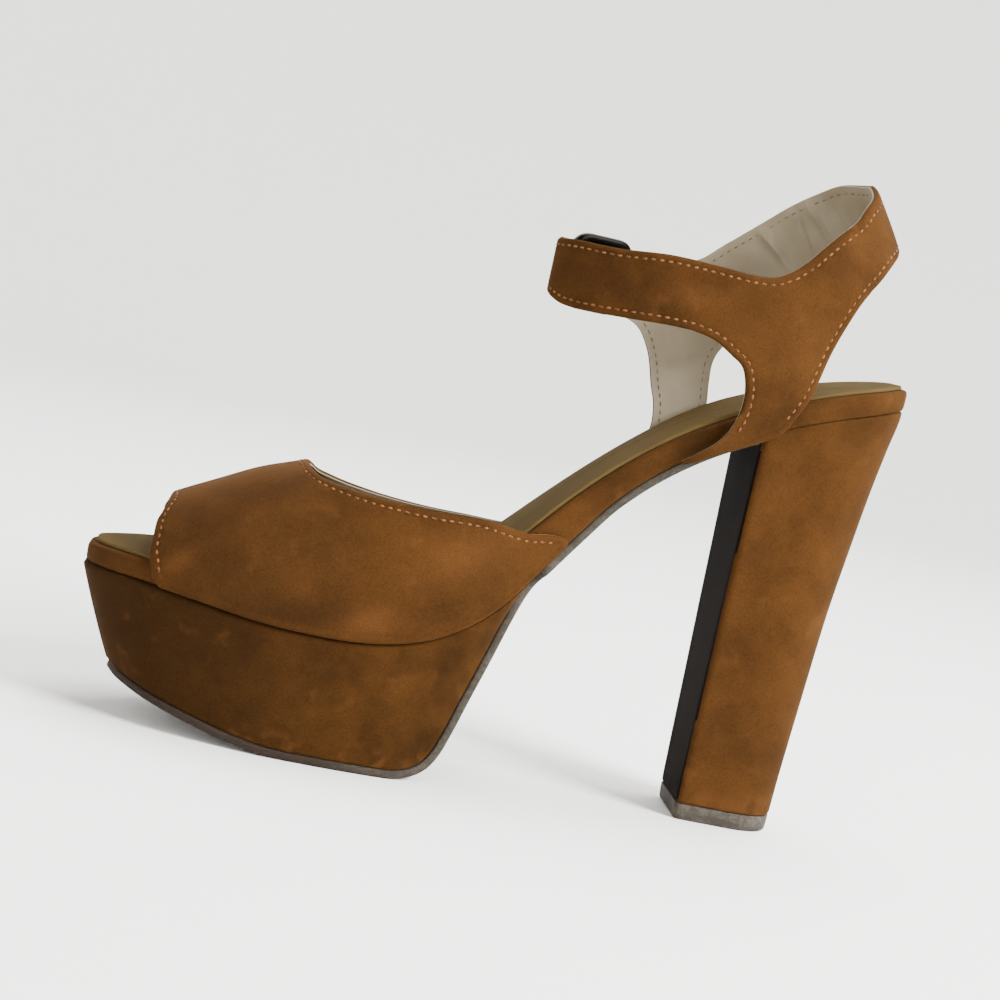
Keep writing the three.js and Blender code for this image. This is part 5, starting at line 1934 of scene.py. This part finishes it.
@dataclass
class Quarters:
    """The two legs, the back strap and the ankle strap, with the buckle on the outer side."""

    bed: FootBed
    finishes: Finishes
    wall: float = 2.0
    rise: float = 56.3
    ankle_width: float = 52.0
    reach: float = 60.0
    strap_low: float = 0.118
    strap_high: float = 0.39
    fold_low: float = 0.1
    fold_high: float = 0.386
    buckle_at: float = 26.0
    buckle_length: float = 21.0
    buckle_height: float = 22.0
    bar: float = 2.2
    bar_width: float = 3.3
    bar_depth: float = 3.2
    bar_spread: float = 0.8
    bar_drop: float = 0.4
    buckle_corner: float = 5.6
    tab_wall: float = 1.0
    clear: float = 0.3
    prong_width: float = 2.2
    branch_tip: float = 14.0
    hole_pitch: float = 7.0
    hole_radius: float = 1.1

    @cached_property
    def half_length(self) -> float:
        """Length of half the loop at the strap's middle height."""
        ring = self.ring(self.strap_middle)
        return float(np.linalg.norm(np.diff(ring, axis=0), axis=1)[: len(ring) // 2].sum())

    @cached_property
    def strap_middle(self) -> float:
        """Height of the strap's middle at the buckle."""
        return self.bed.heel_height + (self.strap_low + self.strap_high) / 2 * self.rise

    def ring(self, z: float) -> Points:
        """Draw the strap loop at a height.

        Args:
            z: The height.

        Returns:
            Evenly spaced points from the back round the inner side, the front fold and the outer side.
        """
        up = (z - self.bed.heel_height) / self.rise
        keys = tuple(row[0] for row in LOOP)
        half = {"seat": self.bed.seat_width / 2, "ankle": self.ankle_width / 2}
        back = float(Run(keys, tuple(float(self.bed.x_of(row[1])) for row in LOOP))(up))
        front = float(Run(keys, tuple(float(self.bed.x_of(row[2])) for row in LOOP))(up))
        wide = float(Run(keys, tuple(row[4] * half[row[3]] for row in LOOP))(up))
        widest = float(self.bed.x_of(0.26))
        turn = np.linspace(0, math.pi, 500)
        cos, sin = np.cos(turn), np.sin(turn)
        power = np.where(cos > 0, 2 / 2.3, 2 / 1.7)
        x = widest - np.sign(cos) * np.where(cos > 0, widest - back, front + 0.7 - widest) * np.abs(cos) ** power
        side = resample(np.stack([x, wide * np.abs(sin) ** power], axis=1), 181)
        loop = np.vstack([side, side[-2:0:-1] * (1, -1)])
        loop = soften(loop, 2.4, around=True)
        return np.column_stack([np.vstack([loop, loop[:1]]), np.full(len(loop) + 1, z)])

    @cached_property
    def form(self) -> Form:
        """The loop as a form. Its chart is the length round the loop and the height."""
        low, high = -0.73 * self.rise, 1.02 * self.rise
        heights = self.bed.heel_height + np.linspace(low, high, 100)
        points = np.stack([self.ring(z) for z in heights], axis=1)
        us = np.linspace(0, 2 * self.half_length, points.shape[0])
        return Form(us, heights, points)

    @cached_property
    def strap_form(self) -> Form:
        """The same form with the strap's stand-off on the outer side."""
        form = self.form
        lifted = form.points + form.normals * self.stand_off(form.us)[:, None, None]
        return Form(form.us, form.vs, soften(lifted, 1.0))

    def stand_off(self, u: np.ndarray) -> np.ndarray:
        """Give how far the strap stands off the loop on its way through the buckle.

        Args:
            u: Lengths round the loop.

        Returns:
            One distance for each.
        """
        length = u - self.half_length

        def ease(start: float, end: float) -> np.ndarray:
            """Rise softly from nought to one between two lengths."""
            share = np.clip((length - start) / (end - start), 0, 1)
            return share * share * (3 - 2 * share)

        on_branch = self.clear + self.wall
        climb = ease(self.front_bar_at + self.bar, self.pivot_at - self.tab_half)
        settle = ease(self.pivot_at + self.tab_half, self.pivot_at + self.tab_half + 9)
        return ease(2, self.branch_tip - 3) * on_branch + (climb - settle) * (self.over_pivot - on_branch)

    @cached_property
    def tab_half(self) -> float:
        """Half the thickness of the leather fold round the bar."""
        return self.bar / 2 + self.clear + self.tab_wall

    @cached_property
    def pivot_depth(self) -> float:
        """How far the pivot bar's middle lies over the loop."""
        return self.clear + self.tab_half

    @cached_property
    def pivot_at(self) -> float:
        """Place of the pivot bar past the front fold."""
        return self.buckle_at + (self.buckle_length - self.bar) / 2

    @cached_property
    def front_bar_at(self) -> float:
        """Place of the front bar past the front fold."""
        return self.buckle_at - (self.buckle_length - self.bar) / 2

    @cached_property
    def over_pivot(self) -> float:
        """How far the strap's face stands off the loop over the pivot bar."""
        return self.pivot_depth + self.tab_half + 2 * self.clear + self.wall

    def heights(self, rows: Sequence[tuple[float, str, float]], side: Side) -> Points:
        """Turn rows of a side view into points of the loop's chart.

        Args:
            rows: The rows.
            side: The side of the shoe they lie on.

        Returns:
            The points of the chart.
        """
        bed, form = self.bed, self.form
        found = []
        for along, over, up in rows:
            x = float(bed.x_of(along))
            if over == "seat":
                base = bed.heel_height
            else:
                base = float(bed.height(x)) - (float(bed.roll(x)) if side is Side.OUTER else 0.0)
            z = base + up * self.rise
            at = float(np.interp(z, form.vs, np.arange(len(form.vs))))
            low = min(int(at), len(form.vs) - 2)
            line = form.points[:, low, 0] * (1 - at + low) + form.points[:, low + 1, 0] * (at - low)
            middle = len(line) // 2
            if side is Side.INNER:
                u = float(np.interp(x, line[: middle + 1], form.us[: middle + 1]))
            else:
                u = float(np.interp(x, line[middle:][::-1], form.us[middle:][::-1]))
            found.append((u, z))
        return np.array(found)

    def corners(self, side: Side) -> tuple[tuple[float, float], tuple[float, float]]:
        """Give the top and bottom of the back seam in the chart."""
        u = 0.0 if side is Side.INNER else 2 * self.half_length
        seat = self.bed.heel_height
        return (u, seat + self.rise - 0.6), (u, seat + 0.7 * self.rise + 0.4)

    @cached_property
    def inner_outline(self) -> Points:
        """The cut outline of the inner quarter with its ankle strap."""
        seat, half = self.bed.heel_height, self.half_length
        low, high = seat + self.strap_low * self.rise, seat + self.strap_high * self.rise
        tip, radius = half + self.reach, (high - low) / 2
        level = half + self.front_bar_at - self.bar
        angles = np.linspace(-math.pi / 2, math.pi / 2, 9)
        round_end = [(tip - radius + radius * math.cos(a), low + radius + radius * math.sin(a)) for a in angles]
        strap = [(half, seat + self.fold_low * self.rise), (half + 7, seat + (self.fold_low + 0.01) * self.rise)]
        strap += [(level, low), ((level + tip - radius) / 2, low), *round_end, ((level + tip - radius) / 2, high)]
        strap += [(level, high), (half + 7, seat + (self.fold_high + 0.01) * self.rise)]
        strap += [(half, seat + self.fold_high * self.rise)]
        top, bottom = self.corners(Side.INNER)
        front = self.heights(INNER_FRONT, Side.INNER)
        upper = self.heights(INNER_TOP, Side.INNER)
        rear = self.heights(INNER_REAR, Side.INNER)
        first = spline([*front, *strap, *upper, (top[0] + 1.6, top[1] + 0.1), top], 1.05)
        seam = resample(np.array([top, bottom]), 16)
        last = spline([bottom, *rear, front[0]], 1.05)
        return np.vstack([first[:-1], seam[:-1], last[:-1]])

    @cached_property
    def outer_outline(self) -> Points:
        """The cut outline of the outer quarter and its branch."""
        top, bottom = self.corners(Side.OUTER)
        front = self.heights(OUTER_FRONT, Side.OUTER)
        rear = self.heights(OUTER_REAR, Side.OUTER)
        first = spline([*front, (top[0] - 1.6, top[1] + 0.1), top], 1.05)
        seam = resample(np.array([top, bottom]), 16)
        last = spline([bottom, *rear, front[0]], 1.05)
        return np.vstack([first[:-1], seam[:-1], last[:-1]])

    @cached_property
    def pinholes(self) -> tuple[Points, ...]:
        """The strap's punched holes, one under the prong."""
        angles = np.linspace(0, 2 * math.pi, 12, endpoint=False)
        circle = np.stack([np.cos(angles), np.sin(angles)], axis=1) * self.hole_radius
        first = self.half_length + self.buckle_at + 1.0
        return tuple(circle + (first + k * self.hole_pitch, self.strap_middle) for k in (-1, 0, 1, 2, 3))

    @cached_property
    def inner_panel(self) -> Panel:
        """The inner quarter's panel."""
        creases = (
            Crease((26, 160), (37, 166), 0.3, 1.3),
            Crease((23, 167), (33, 172), 0.2, 1.2),
            Crease((96, 146), (101, 156), 0.25, 1.8),
            Crease((107, 144), (110, 155), 0.2, 1.6),
        )
        folds = (Crease((30, 176), (36, 184), -0.6, 1.2), Crease((20, 172), (26, 183), 0.35, 0.6))
        buckle = self.half_length + self.buckle_at
        flare = [tuple(point) for point in self.heights(INNER_FRONT[:5], Side.INNER)]
        creases += (Crease(flare[0], flare[3], -1.6, 3.4), Crease(flare[1], flare[4], -0.8, 3.4))
        soils_and_shades = (
            Spot((65, 150), (8, 5), 0.4, -20),
            Spot((55, 118), (7, 5), 0.45),
            Spot((118, 148), (9, 4), 0.4),
            Spot((92, 143), (10, 2.5), 0.3),
        )
        rubs = (Spot((83, 149), (9, 4), 0.35), Spot((48, 140), (7, 10), 0.3), Spot((30, 172), (6, 8), 0.3, 40))
        # Painted shade on the strap's lining where the buckle stands over it.
        lining_shades = (Spot((buckle, self.strap_middle + 7), (13, 4.5), 0.9),)
        return Panel(
            self.strap_form,
            self.inner_outline,
            self.wall,
            creases,
            folds=folds,
            soils_and_shades=soils_and_shades,
            rubs=rubs,
            lining_shades=lining_shades,
            holes=self.pinholes,
        )

    @cached_property
    def outer_panel(self) -> Panel:
        """The outer quarter's panel."""
        creases = (Crease((228, 158), (238, 164), 0.3, 1.3), Crease((229, 166), (239, 171), 0.2, 1.2))
        folds = (
            Crease((207, 172.5), (216.5, 163.5), -1.3, 1.2),
            Crease((224, 184), (231.5, 174), -1.1, 1.1),
            Crease((219.5, 184), (225.5, 168), 0.45, 0.55),
            Crease((237, 186), (241, 176), -0.5, 1.2),
            Crease((182, 125), (190, 131), 0.3, 1.6),
        )
        buckle = self.half_length + self.buckle_at
        soils_and_shades = (Spot((200, 150), (8, 5), 0.35, 20), Spot((206, 120), (7, 5), 0.4))
        # Painted shade on the lining: under the buckle and inside the outer leg.
        lining_shades = (
            Spot((buckle, self.strap_middle + 7), (13, 4.5), 0.9),
            Spot((203, 126), (16, 28), 0.55),
            Spot((206, 106), (13, 12), 0.25),
        )
        return Panel(self.form, self.outer_outline, self.wall, creases, folds=folds, soils_and_shades=soils_and_shades, lining_shades=lining_shades)

    def stitched(self, chart: Points) -> np.ndarray:
        """Tell where the quarters' edges are stitched: not at the back seam and not at the sole."""
        u, z = chart[:, 0], chart[:, 1]
        x = self.form.place(chart)[0][:, 0]
        seam = (u > 3.2) & (u < 2 * self.half_length - 3.2)
        return seam & (z > self.bed.height(x) - 4)

    def buckle_frame(self) -> Matrix:
        """Place the buckle over the loop, tilted to its two bars.

        Returns:
            The buckle's own axes and centre, in millimetres.
        """
        half, z = self.half_length, self.strap_middle
        (rear, front), _ = self.form.place(np.array([(half + self.pivot_at, z), (half + self.front_bar_at, z)]))
        (above, below), _ = self.form.place(
            np.array([(half + self.front_bar_at, z + 5), (half + self.front_bar_at, z - 5)])
        )
        upright = above - below
        chord = (front - rear) / np.linalg.norm(front - rear)
        outward = np.cross(chord, upright)
        outward /= np.linalg.norm(outward)
        rear = rear + outward * self.pivot_depth
        front = front + outward * (self.clear * 3 + self.wall + self.bar / 2)
        x = (front - rear) / np.linalg.norm(front - rear)
        up = np.cross(np.cross(x, upright), x)
        up /= np.linalg.norm(up)
        out = np.cross(x, up)
        centre = (rear + front) / 2
        rows = [[x[i], up[i], out[i], centre[i]] for i in range(3)]
        return Matrix(rows + [[0, 0, 0, 1]])

    def put(self, skin: Skin) -> Skin:
        """Move a skin from the buckle's own axes to the shoe's."""
        matrix = np.array(self.buckle_frame())
        skin.points = skin.points @ matrix[:3, :3].T + matrix[:3, 3]
        return skin

    def make_frame(self) -> bpy.types.Object:
        """Build the buckle's round-barred frame.

        Returns:
            The frame.
        """
        x = (self.buckle_length - self.bar) / 2
        y = (self.buckle_height + self.bar_spread - self.bar_width) / 2
        r = self.buckle_corner - self.bar / 2
        corners = ((x - r, y - r, 0), (-x + r, y - r, 90), (-x + r, -y + r, 180), (x - r, -y + r, 270))
        path = []
        for cx, cy, start in corners:
            for angle in np.radians(np.linspace(start, start + 90, 8)):
                path.append((cx + r * math.cos(angle), cy + r * math.sin(angle) - self.bar_drop, 0.0))
        line = resample(np.array(path), 120, closed=True)
        share = np.clip((line[:, 0] + x) / 2.5, 0, 1)
        cast = (share * share * (3 - 2 * share))[:, None]
        angles = np.linspace(0, 2 * math.pi, 20, endpoint=False)
        cos, sin = np.cos(angles), np.sin(angles)
        square = np.sign(cos) * np.abs(cos) ** 0.6, np.sign(sin) * np.abs(sin) ** 0.6
        round_bar = np.stack([cos, sin], axis=1) * self.bar / 2
        deep = self.bar_depth - self.bar / 2
        wide = np.stack([square[0] * self.bar_width / 2, square[1] * self.bar_depth / 2], axis=1)
        wide[:, 1] += (deep - self.bar / 2) / 2
        section = round_bar[None] * (1 - cast[..., None]) + wide[None] * cast[..., None]
        up = np.tile([0.0, 0.0, 1.0], (len(line), 1))
        return self.put(tube(line, up, section, closed=True)).make("buckle_bar", [self.finishes.plating], weld=0.001)

    def make_prong(self) -> bpy.types.Object:
        """Build the prong, bent up through the strap and down on the front bar.

        Returns:
            The prong.
        """
        pivot = -(self.buckle_length - self.bar) / 2
        rest = self.bar_depth - self.bar / 2 + 0.55
        end = -pivot + self.bar_width / 2 + 0.4
        root = pivot + self.bar / 2 + self.clear
        line = [(root, 0, 0.1), (root + 2, 0, 0.1), (pivot / 2, 0, 1.3), (0, 0, 2.9)]
        line += [(-pivot * 0.55, 0, rest + 0.5), (-pivot - 1, 0, rest + 0.1), (end, 0, rest)]
        path = spline(line, 0.6)
        share = np.linspace(0, 1, len(path))
        wide = self.prong_width / 2 * (1 - 0.45 * share**2)
        thick = 0.6 * (1 - 0.3 * share**2)
        fade = np.sqrt(np.clip(np.minimum(share, 1 - share) * len(path) / 2.0, 0.05, 1))
        angles = np.linspace(0, 2 * math.pi, 12, endpoint=False)
        section = np.stack(
            [np.outer(wide * fade, np.cos(angles)), np.outer(thick * fade, np.sin(angles))], axis=2
        )
        up = np.tile([0.0, 0.0, 1.0], (len(path), 1))
        return self.put(tube(path, up, section, closed=False)).make("buckle_tongue", [self.finishes.plating])

    def make_tab(self) -> bpy.types.Object:
        """Build the thin leather fold that holds the bar, split for the prong.

        Returns:
            The fold.
        """
        pivot = -(self.buckle_length - self.bar) / 2
        tall = (self.strap_high - self.strap_low) * self.rise - 3
        slot = self.prong_width / 2 + 0.3
        angles = np.radians(np.linspace(20, 340, 40))
        skins = []
        for low, high, turns in ((slot, tall / 2, angles), (-tall / 2, -slot, angles)):
            inner = self.bar / 2 + 0.15
            outer = inner + self.tab_wall
            section = []
            for radius, order in ((outer, turns), (inner, turns[::-1])):
                section += [(pivot + radius * math.cos(a), radius * math.sin(a)) for a in order]
            flat = np.array(section)
            levels = []
            for y, inset in ((low, 0.25), (low + 0.25, 0), (high - 0.25, 0), (high, 0.25)):
                drawn = flat + inward(flat) * inset
                levels.append(np.stack([drawn[:, 0], np.full(len(drawn), y), drawn[:, 1]], axis=1))
            skins.append(rings(levels, across=True))
        return self.put(joined(skins)).make("buckle_fold", [self.finishes.suede])

    def build(self) -> list[tuple[bpy.types.Object, tuple[Node, ...], str]]:
        """Build the quarters and the buckle.

        Returns:
            Each piece with the nodes it stands for and its slot.
        """
        skins = [self.finishes.suede, self.finishes.lining]
        return [
            (self.inner_panel.build().make("inner_quarter_suede", skins), (Node.INNER,), "suede"),
            (self.outer_panel.build().make("outer_quarter_suede", skins), (Node.OUTER,), "suede"),
            (self.make_frame(), (Node.FRAME,), "buckle_metal"),
            (self.make_prong(), (Node.PRONG,), "buckle_metal"),
            (self.make_tab(), (Node.TAB,), "suede"),
        ]


# Stitches


@dataclass
class Stitching:
    """Rows of lockstitches, set out along seam lines by a node tree."""

    pitch: float = 2.45
    length: float = 1.6
    width: float = 0.72
    height: float = 0.42
    seed: int = 7
    _tree: bpy.types.NodeTree | None = None

    @property
    def tree(self) -> bpy.types.NodeTree:
        """The node tree, made once."""
        if self._tree is None:
            self._tree = self._make_tree()
        return self._tree

    def _make_tree(self) -> bpy.types.NodeTree:
        """Build the tree that turns a line into a row of stitches.

        Returns:
            The tree.
        """
        tree = bpy.data.node_groups.new("lockstitch row", "GeometryNodeTree")
        ports = tree.interface
        ports.new_socket("Geometry", in_out="INPUT", socket_type="NodeSocketGeometry")
        for name in ("Pitch", "Length", "Width", "Height"):
            ports.new_socket(name, in_out="INPUT", socket_type="NodeSocketFloat")
        ports.new_socket("Seed", in_out="INPUT", socket_type="NodeSocketInt")
        ports.new_socket("Thread", in_out="INPUT", socket_type="NodeSocketMaterial")
        ports.new_socket("Geometry", in_out="OUTPUT", socket_type="NodeSocketGeometry")
        given = add(tree, "NodeGroupInput").outputs
        line = add(tree, "GeometryNodeMeshToCurve", links={"Mesh": given["Geometry"]})
        even = add(
            tree,
            "GeometryNodeResampleCurve",
            links={"Curve": line.outputs["Curve"], "Length": given["Pitch"]},
            mode="LENGTH",
        )
        facing = add(tree, "GeometryNodeInputNamedAttribute", {"Name": "facing"}, data_type="FLOAT_VECTOR")
        tangent = add(tree, "GeometryNodeInputTangent")
        along = add(
            tree,
            "FunctionNodeAlignRotationToVector",
            links={"Vector": tangent.outputs["Tangent"]},
            axis="X",
        )
        turned = add(
            tree,
            "FunctionNodeAlignRotationToVector",
            links={"Rotation": along.outputs["Rotation"], "Vector": facing.outputs["Attribute"]},
            axis="Z",
            pivot_axis="X",
        )
        bead = add(tree, "GeometryNodeMeshUVSphere", {"Segments": 6, "Rings": 5, "Radius": 0.5})
        size = add(
            tree,
            "ShaderNodeCombineXYZ",
            links={"X": given["Length"], "Y": given["Width"], "Z": given["Height"]},
        )
        shaped = add(
            tree,
            "GeometryNodeTransform",
            links={"Geometry": bead.outputs["Mesh"], "Scale": size.outputs["Vector"]},
        )
        vary = add(
            tree,
            "FunctionNodeRandomValue",
            {"Min": (0.9, 0.9, 0.85), "Max": (1.06, 1.08, 1.1)},
            {"Seed": given["Seed"]},
            data_type="FLOAT_VECTOR",
        )
        row = add(
            tree,
            "GeometryNodeInstanceOnPoints",
            links={
                "Points": even.outputs["Curve"],
                "Instance": shaped.outputs["Geometry"],
                "Rotation": turned.outputs["Rotation"],
                "Scale": vary.outputs["Value"],
            },
        )
        real = add(tree, "GeometryNodeRealizeInstances", links={"Geometry": row.outputs["Instances"]})
        smooth = add(tree, "GeometryNodeSetShadeSmooth", links={"Geometry": real.outputs["Geometry"]})
        dressed = add(
            tree,
            "GeometryNodeSetMaterial",
            links={"Geometry": smooth.outputs["Geometry"], "Material": given["Thread"]},
        )
        add(tree, "NodeGroupOutput", links={"Geometry": dressed.outputs["Geometry"]})
        return tree

    def sew(self, name: str, lines: Sequence[Line], thread: bpy.types.Material) -> bpy.types.Object:
        """Sew along lines on the leather.

        Args:
            name: The name of the new piece.
            lines: Each line's points and the outward directions there.
            thread: The thread's material.

        Returns:
            All stitches as one mesh.
        """
        points, facing, edges = [], [], []
        for line, normals in lines:
            start = len(points)
            points += (line * MM).tolist()
            facing += normals.tolist()
            edges += [(start + i, start + i + 1) for i in range(len(line) - 1)]
        mesh = bpy.data.meshes.new(name + "_line")
        mesh.from_pydata(points, edges, [])
        layer = mesh.attributes.new("facing", "FLOAT_VECTOR", "POINT")
        layer.data.foreach_set("vector", np.array(facing, np.float32).ravel())
        guide = bpy.data.objects.new(name + "_line", mesh)
        bpy.context.scene.collection.objects.link(guide)
        modifier = guide.modifiers.new("stitches", "NODES")
        modifier.node_group = self.tree
        values = {
            "Pitch": self.pitch * MM,
            "Length": self.length * MM,
            "Width": self.width * MM,
            "Height": self.height * MM,
            "Seed": self.seed,
            "Thread": thread,
        }
        for item in self.tree.interface.items_tree:
            if item.item_type == "SOCKET" and item.in_out == "INPUT" and item.name in values:
                modifier[item.identifier] = values[item.name]
        guide.update_tag()
        held = bpy.context.evaluated_depsgraph_get()
        held.update()
        whole = bpy.data.meshes.new_from_object(guide.evaluated_get(held))
        guide.modifiers.remove(modifier)
        bpy.data.objects.remove(guide)
        whole.name = name
        piece = bpy.data.objects.new(name, whole)
        bpy.context.scene.collection.objects.link(piece)
        return piece


# Studio


@dataclass(frozen=True)
class Studio:
    """Pale floor, soft lights and the camera."""

    camera_at: tuple[float, float, float] = (153.3, 687.5, 140.3)
    aim: tuple[float, float, float] = (81.4, 0.0, 79.5)
    upright: tuple[float, float, float] = (0.2117, 0.019, 0.9772)
    lens: float = 86.0

    def place_camera(self) -> None:
        """Put the camera at the photograph's angle to the shoe."""
        here = Vector(self.camera_at) * MM
        forward = (Vector(self.aim) * MM - here).normalized()
        right = forward.cross(Vector(self.upright)).normalized()
        up = right.cross(forward)
        camera = bpy.data.objects.new("camera", bpy.data.cameras.new("camera"))
        camera.data.lens = self.lens
        camera.data.sensor_width = 36.0
        camera.data.clip_start = 0.01
        turn = Matrix((right, up, -forward)).transposed().to_4x4()
        camera.matrix_world = Matrix.Translation(here) @ turn
        bpy.context.scene.collection.objects.link(camera)
        bpy.context.scene.camera = camera

    def make_floor(self) -> bpy.types.Object:
        """Build a round floor whose rim sweeps up all round.

        Returns:
            The floor.
        """
        profile = [(r, 0.0) for r in np.linspace(0, 1400, 12)]
        profile += [(1400 + 900 * math.sin(a), 900 - 900 * math.cos(a)) for a in np.linspace(0.1, math.pi / 2, 14)]
        profile += [(2300.0, 2600.0)]
        angles = np.linspace(0, 2 * math.pi, 96, endpoint=False)
        levels = [np.stack([r * np.cos(angles), r * np.sin(angles), np.full(96, z)], axis=1) for r, z in profile]
        skin = rings(levels)
        mesh = bpy.data.meshes.new("floor")
        mesh.from_pydata((skin.points * MM).tolist(), [], skin.faces)
        mesh.polygons.foreach_set("use_smooth", [True] * len(mesh.polygons))
        mesh.materials.append(Paper().make("pale studio paper"))
        floor = bpy.data.objects.new("floor", mesh)
        bpy.context.scene.collection.objects.link(floor)
        return floor

    def hang(self, name: str, at: tuple[float, float, float], size: float, power: float) -> None:
        """Hang a soft square light that faces the shoe.

        Args:
            name: Its name.
            at: Its place in millimetres.
            size: Its side in millimetres.
            power: Its power in watts.
        """
        data = bpy.data.lights.new(name, "AREA")
        data.shape = "SQUARE"
        data.size = size * MM
        data.energy = power
        lamp = bpy.data.objects.new(name, data)
        lamp.location = Vector(at) * MM
        aim = Vector((80, 0, 60)) * MM - lamp.location
        lamp.rotation_euler = aim.to_track_quat("-Z", "Y").to_euler()
        lamp.visible_camera = False
        bpy.context.scene.collection.objects.link(lamp)

    def light(self) -> None:
        """Light the shoe from the heel side and from above, in a soft white world."""
        self.hang("key", (-1050, 850, 950), 700, 105)
        self.hang("top", (-250, -350, 1500), 1200, 50)
        world = bpy.data.worlds.new("studio")
        world.use_nodes = True
        sky = world.node_tree.nodes["Background"]
        sky.inputs["Color"].default_value = (1, 1, 1, 1)
        sky.inputs["Strength"].default_value = 0.42
        bpy.context.scene.world = world


# The whole


def settle(made: Sequence[tuple[bpy.types.Object, tuple[Node, ...], str]]) -> None:
    """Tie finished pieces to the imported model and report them.

    Args:
        made: Each piece with the nodes it stands for and its slot.
    """
    for piece, nodes, slot in made:
        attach(piece, "root")
        if nodes:
            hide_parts(*(node.value for node in nodes))
        LOG.info("%s: %d faces", piece.name, len(piece.data.polygons))


def main() -> None:
    """Build the shoe, dress it and set up the studio."""
    logging.basicConfig(level=logging.INFO, format="%(message)s")
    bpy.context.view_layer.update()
    finishes = Finishes.make()
    bed = FootBed()
    studio = Studio()
    studio.place_camera()
    studio.light()
    studio.make_floor()
    sole = Sole(bed, finishes)
    heel = Heel(bed, finishes)
    vamp = Vamp(bed, finishes)
    quarters = Quarters(bed, finishes)
    for part in (sole, heel, vamp, quarters):
        settle(part.build())
    seams = {
        "vamp": vamp.panel.seam(vamp.stitched),
        "inner_quarter": quarters.inner_panel.seam(quarters.stitched),
        "outer_quarter": quarters.outer_panel.seam(quarters.stitched),
    }
    topstitch = Stitching()
    bobbin = Stitching(width=0.5, height=0.3)
    for name, (outer, inner) in seams.items():
        settle([(topstitch.sew(f"{name}_topstitches", outer, finishes.thread), (), "suede")])
        settle([(bobbin.sew(f"{name}_bobbin_stitches", inner, finishes.bobbin), (), "lining")])


if __name__ == "__main__":
    main()
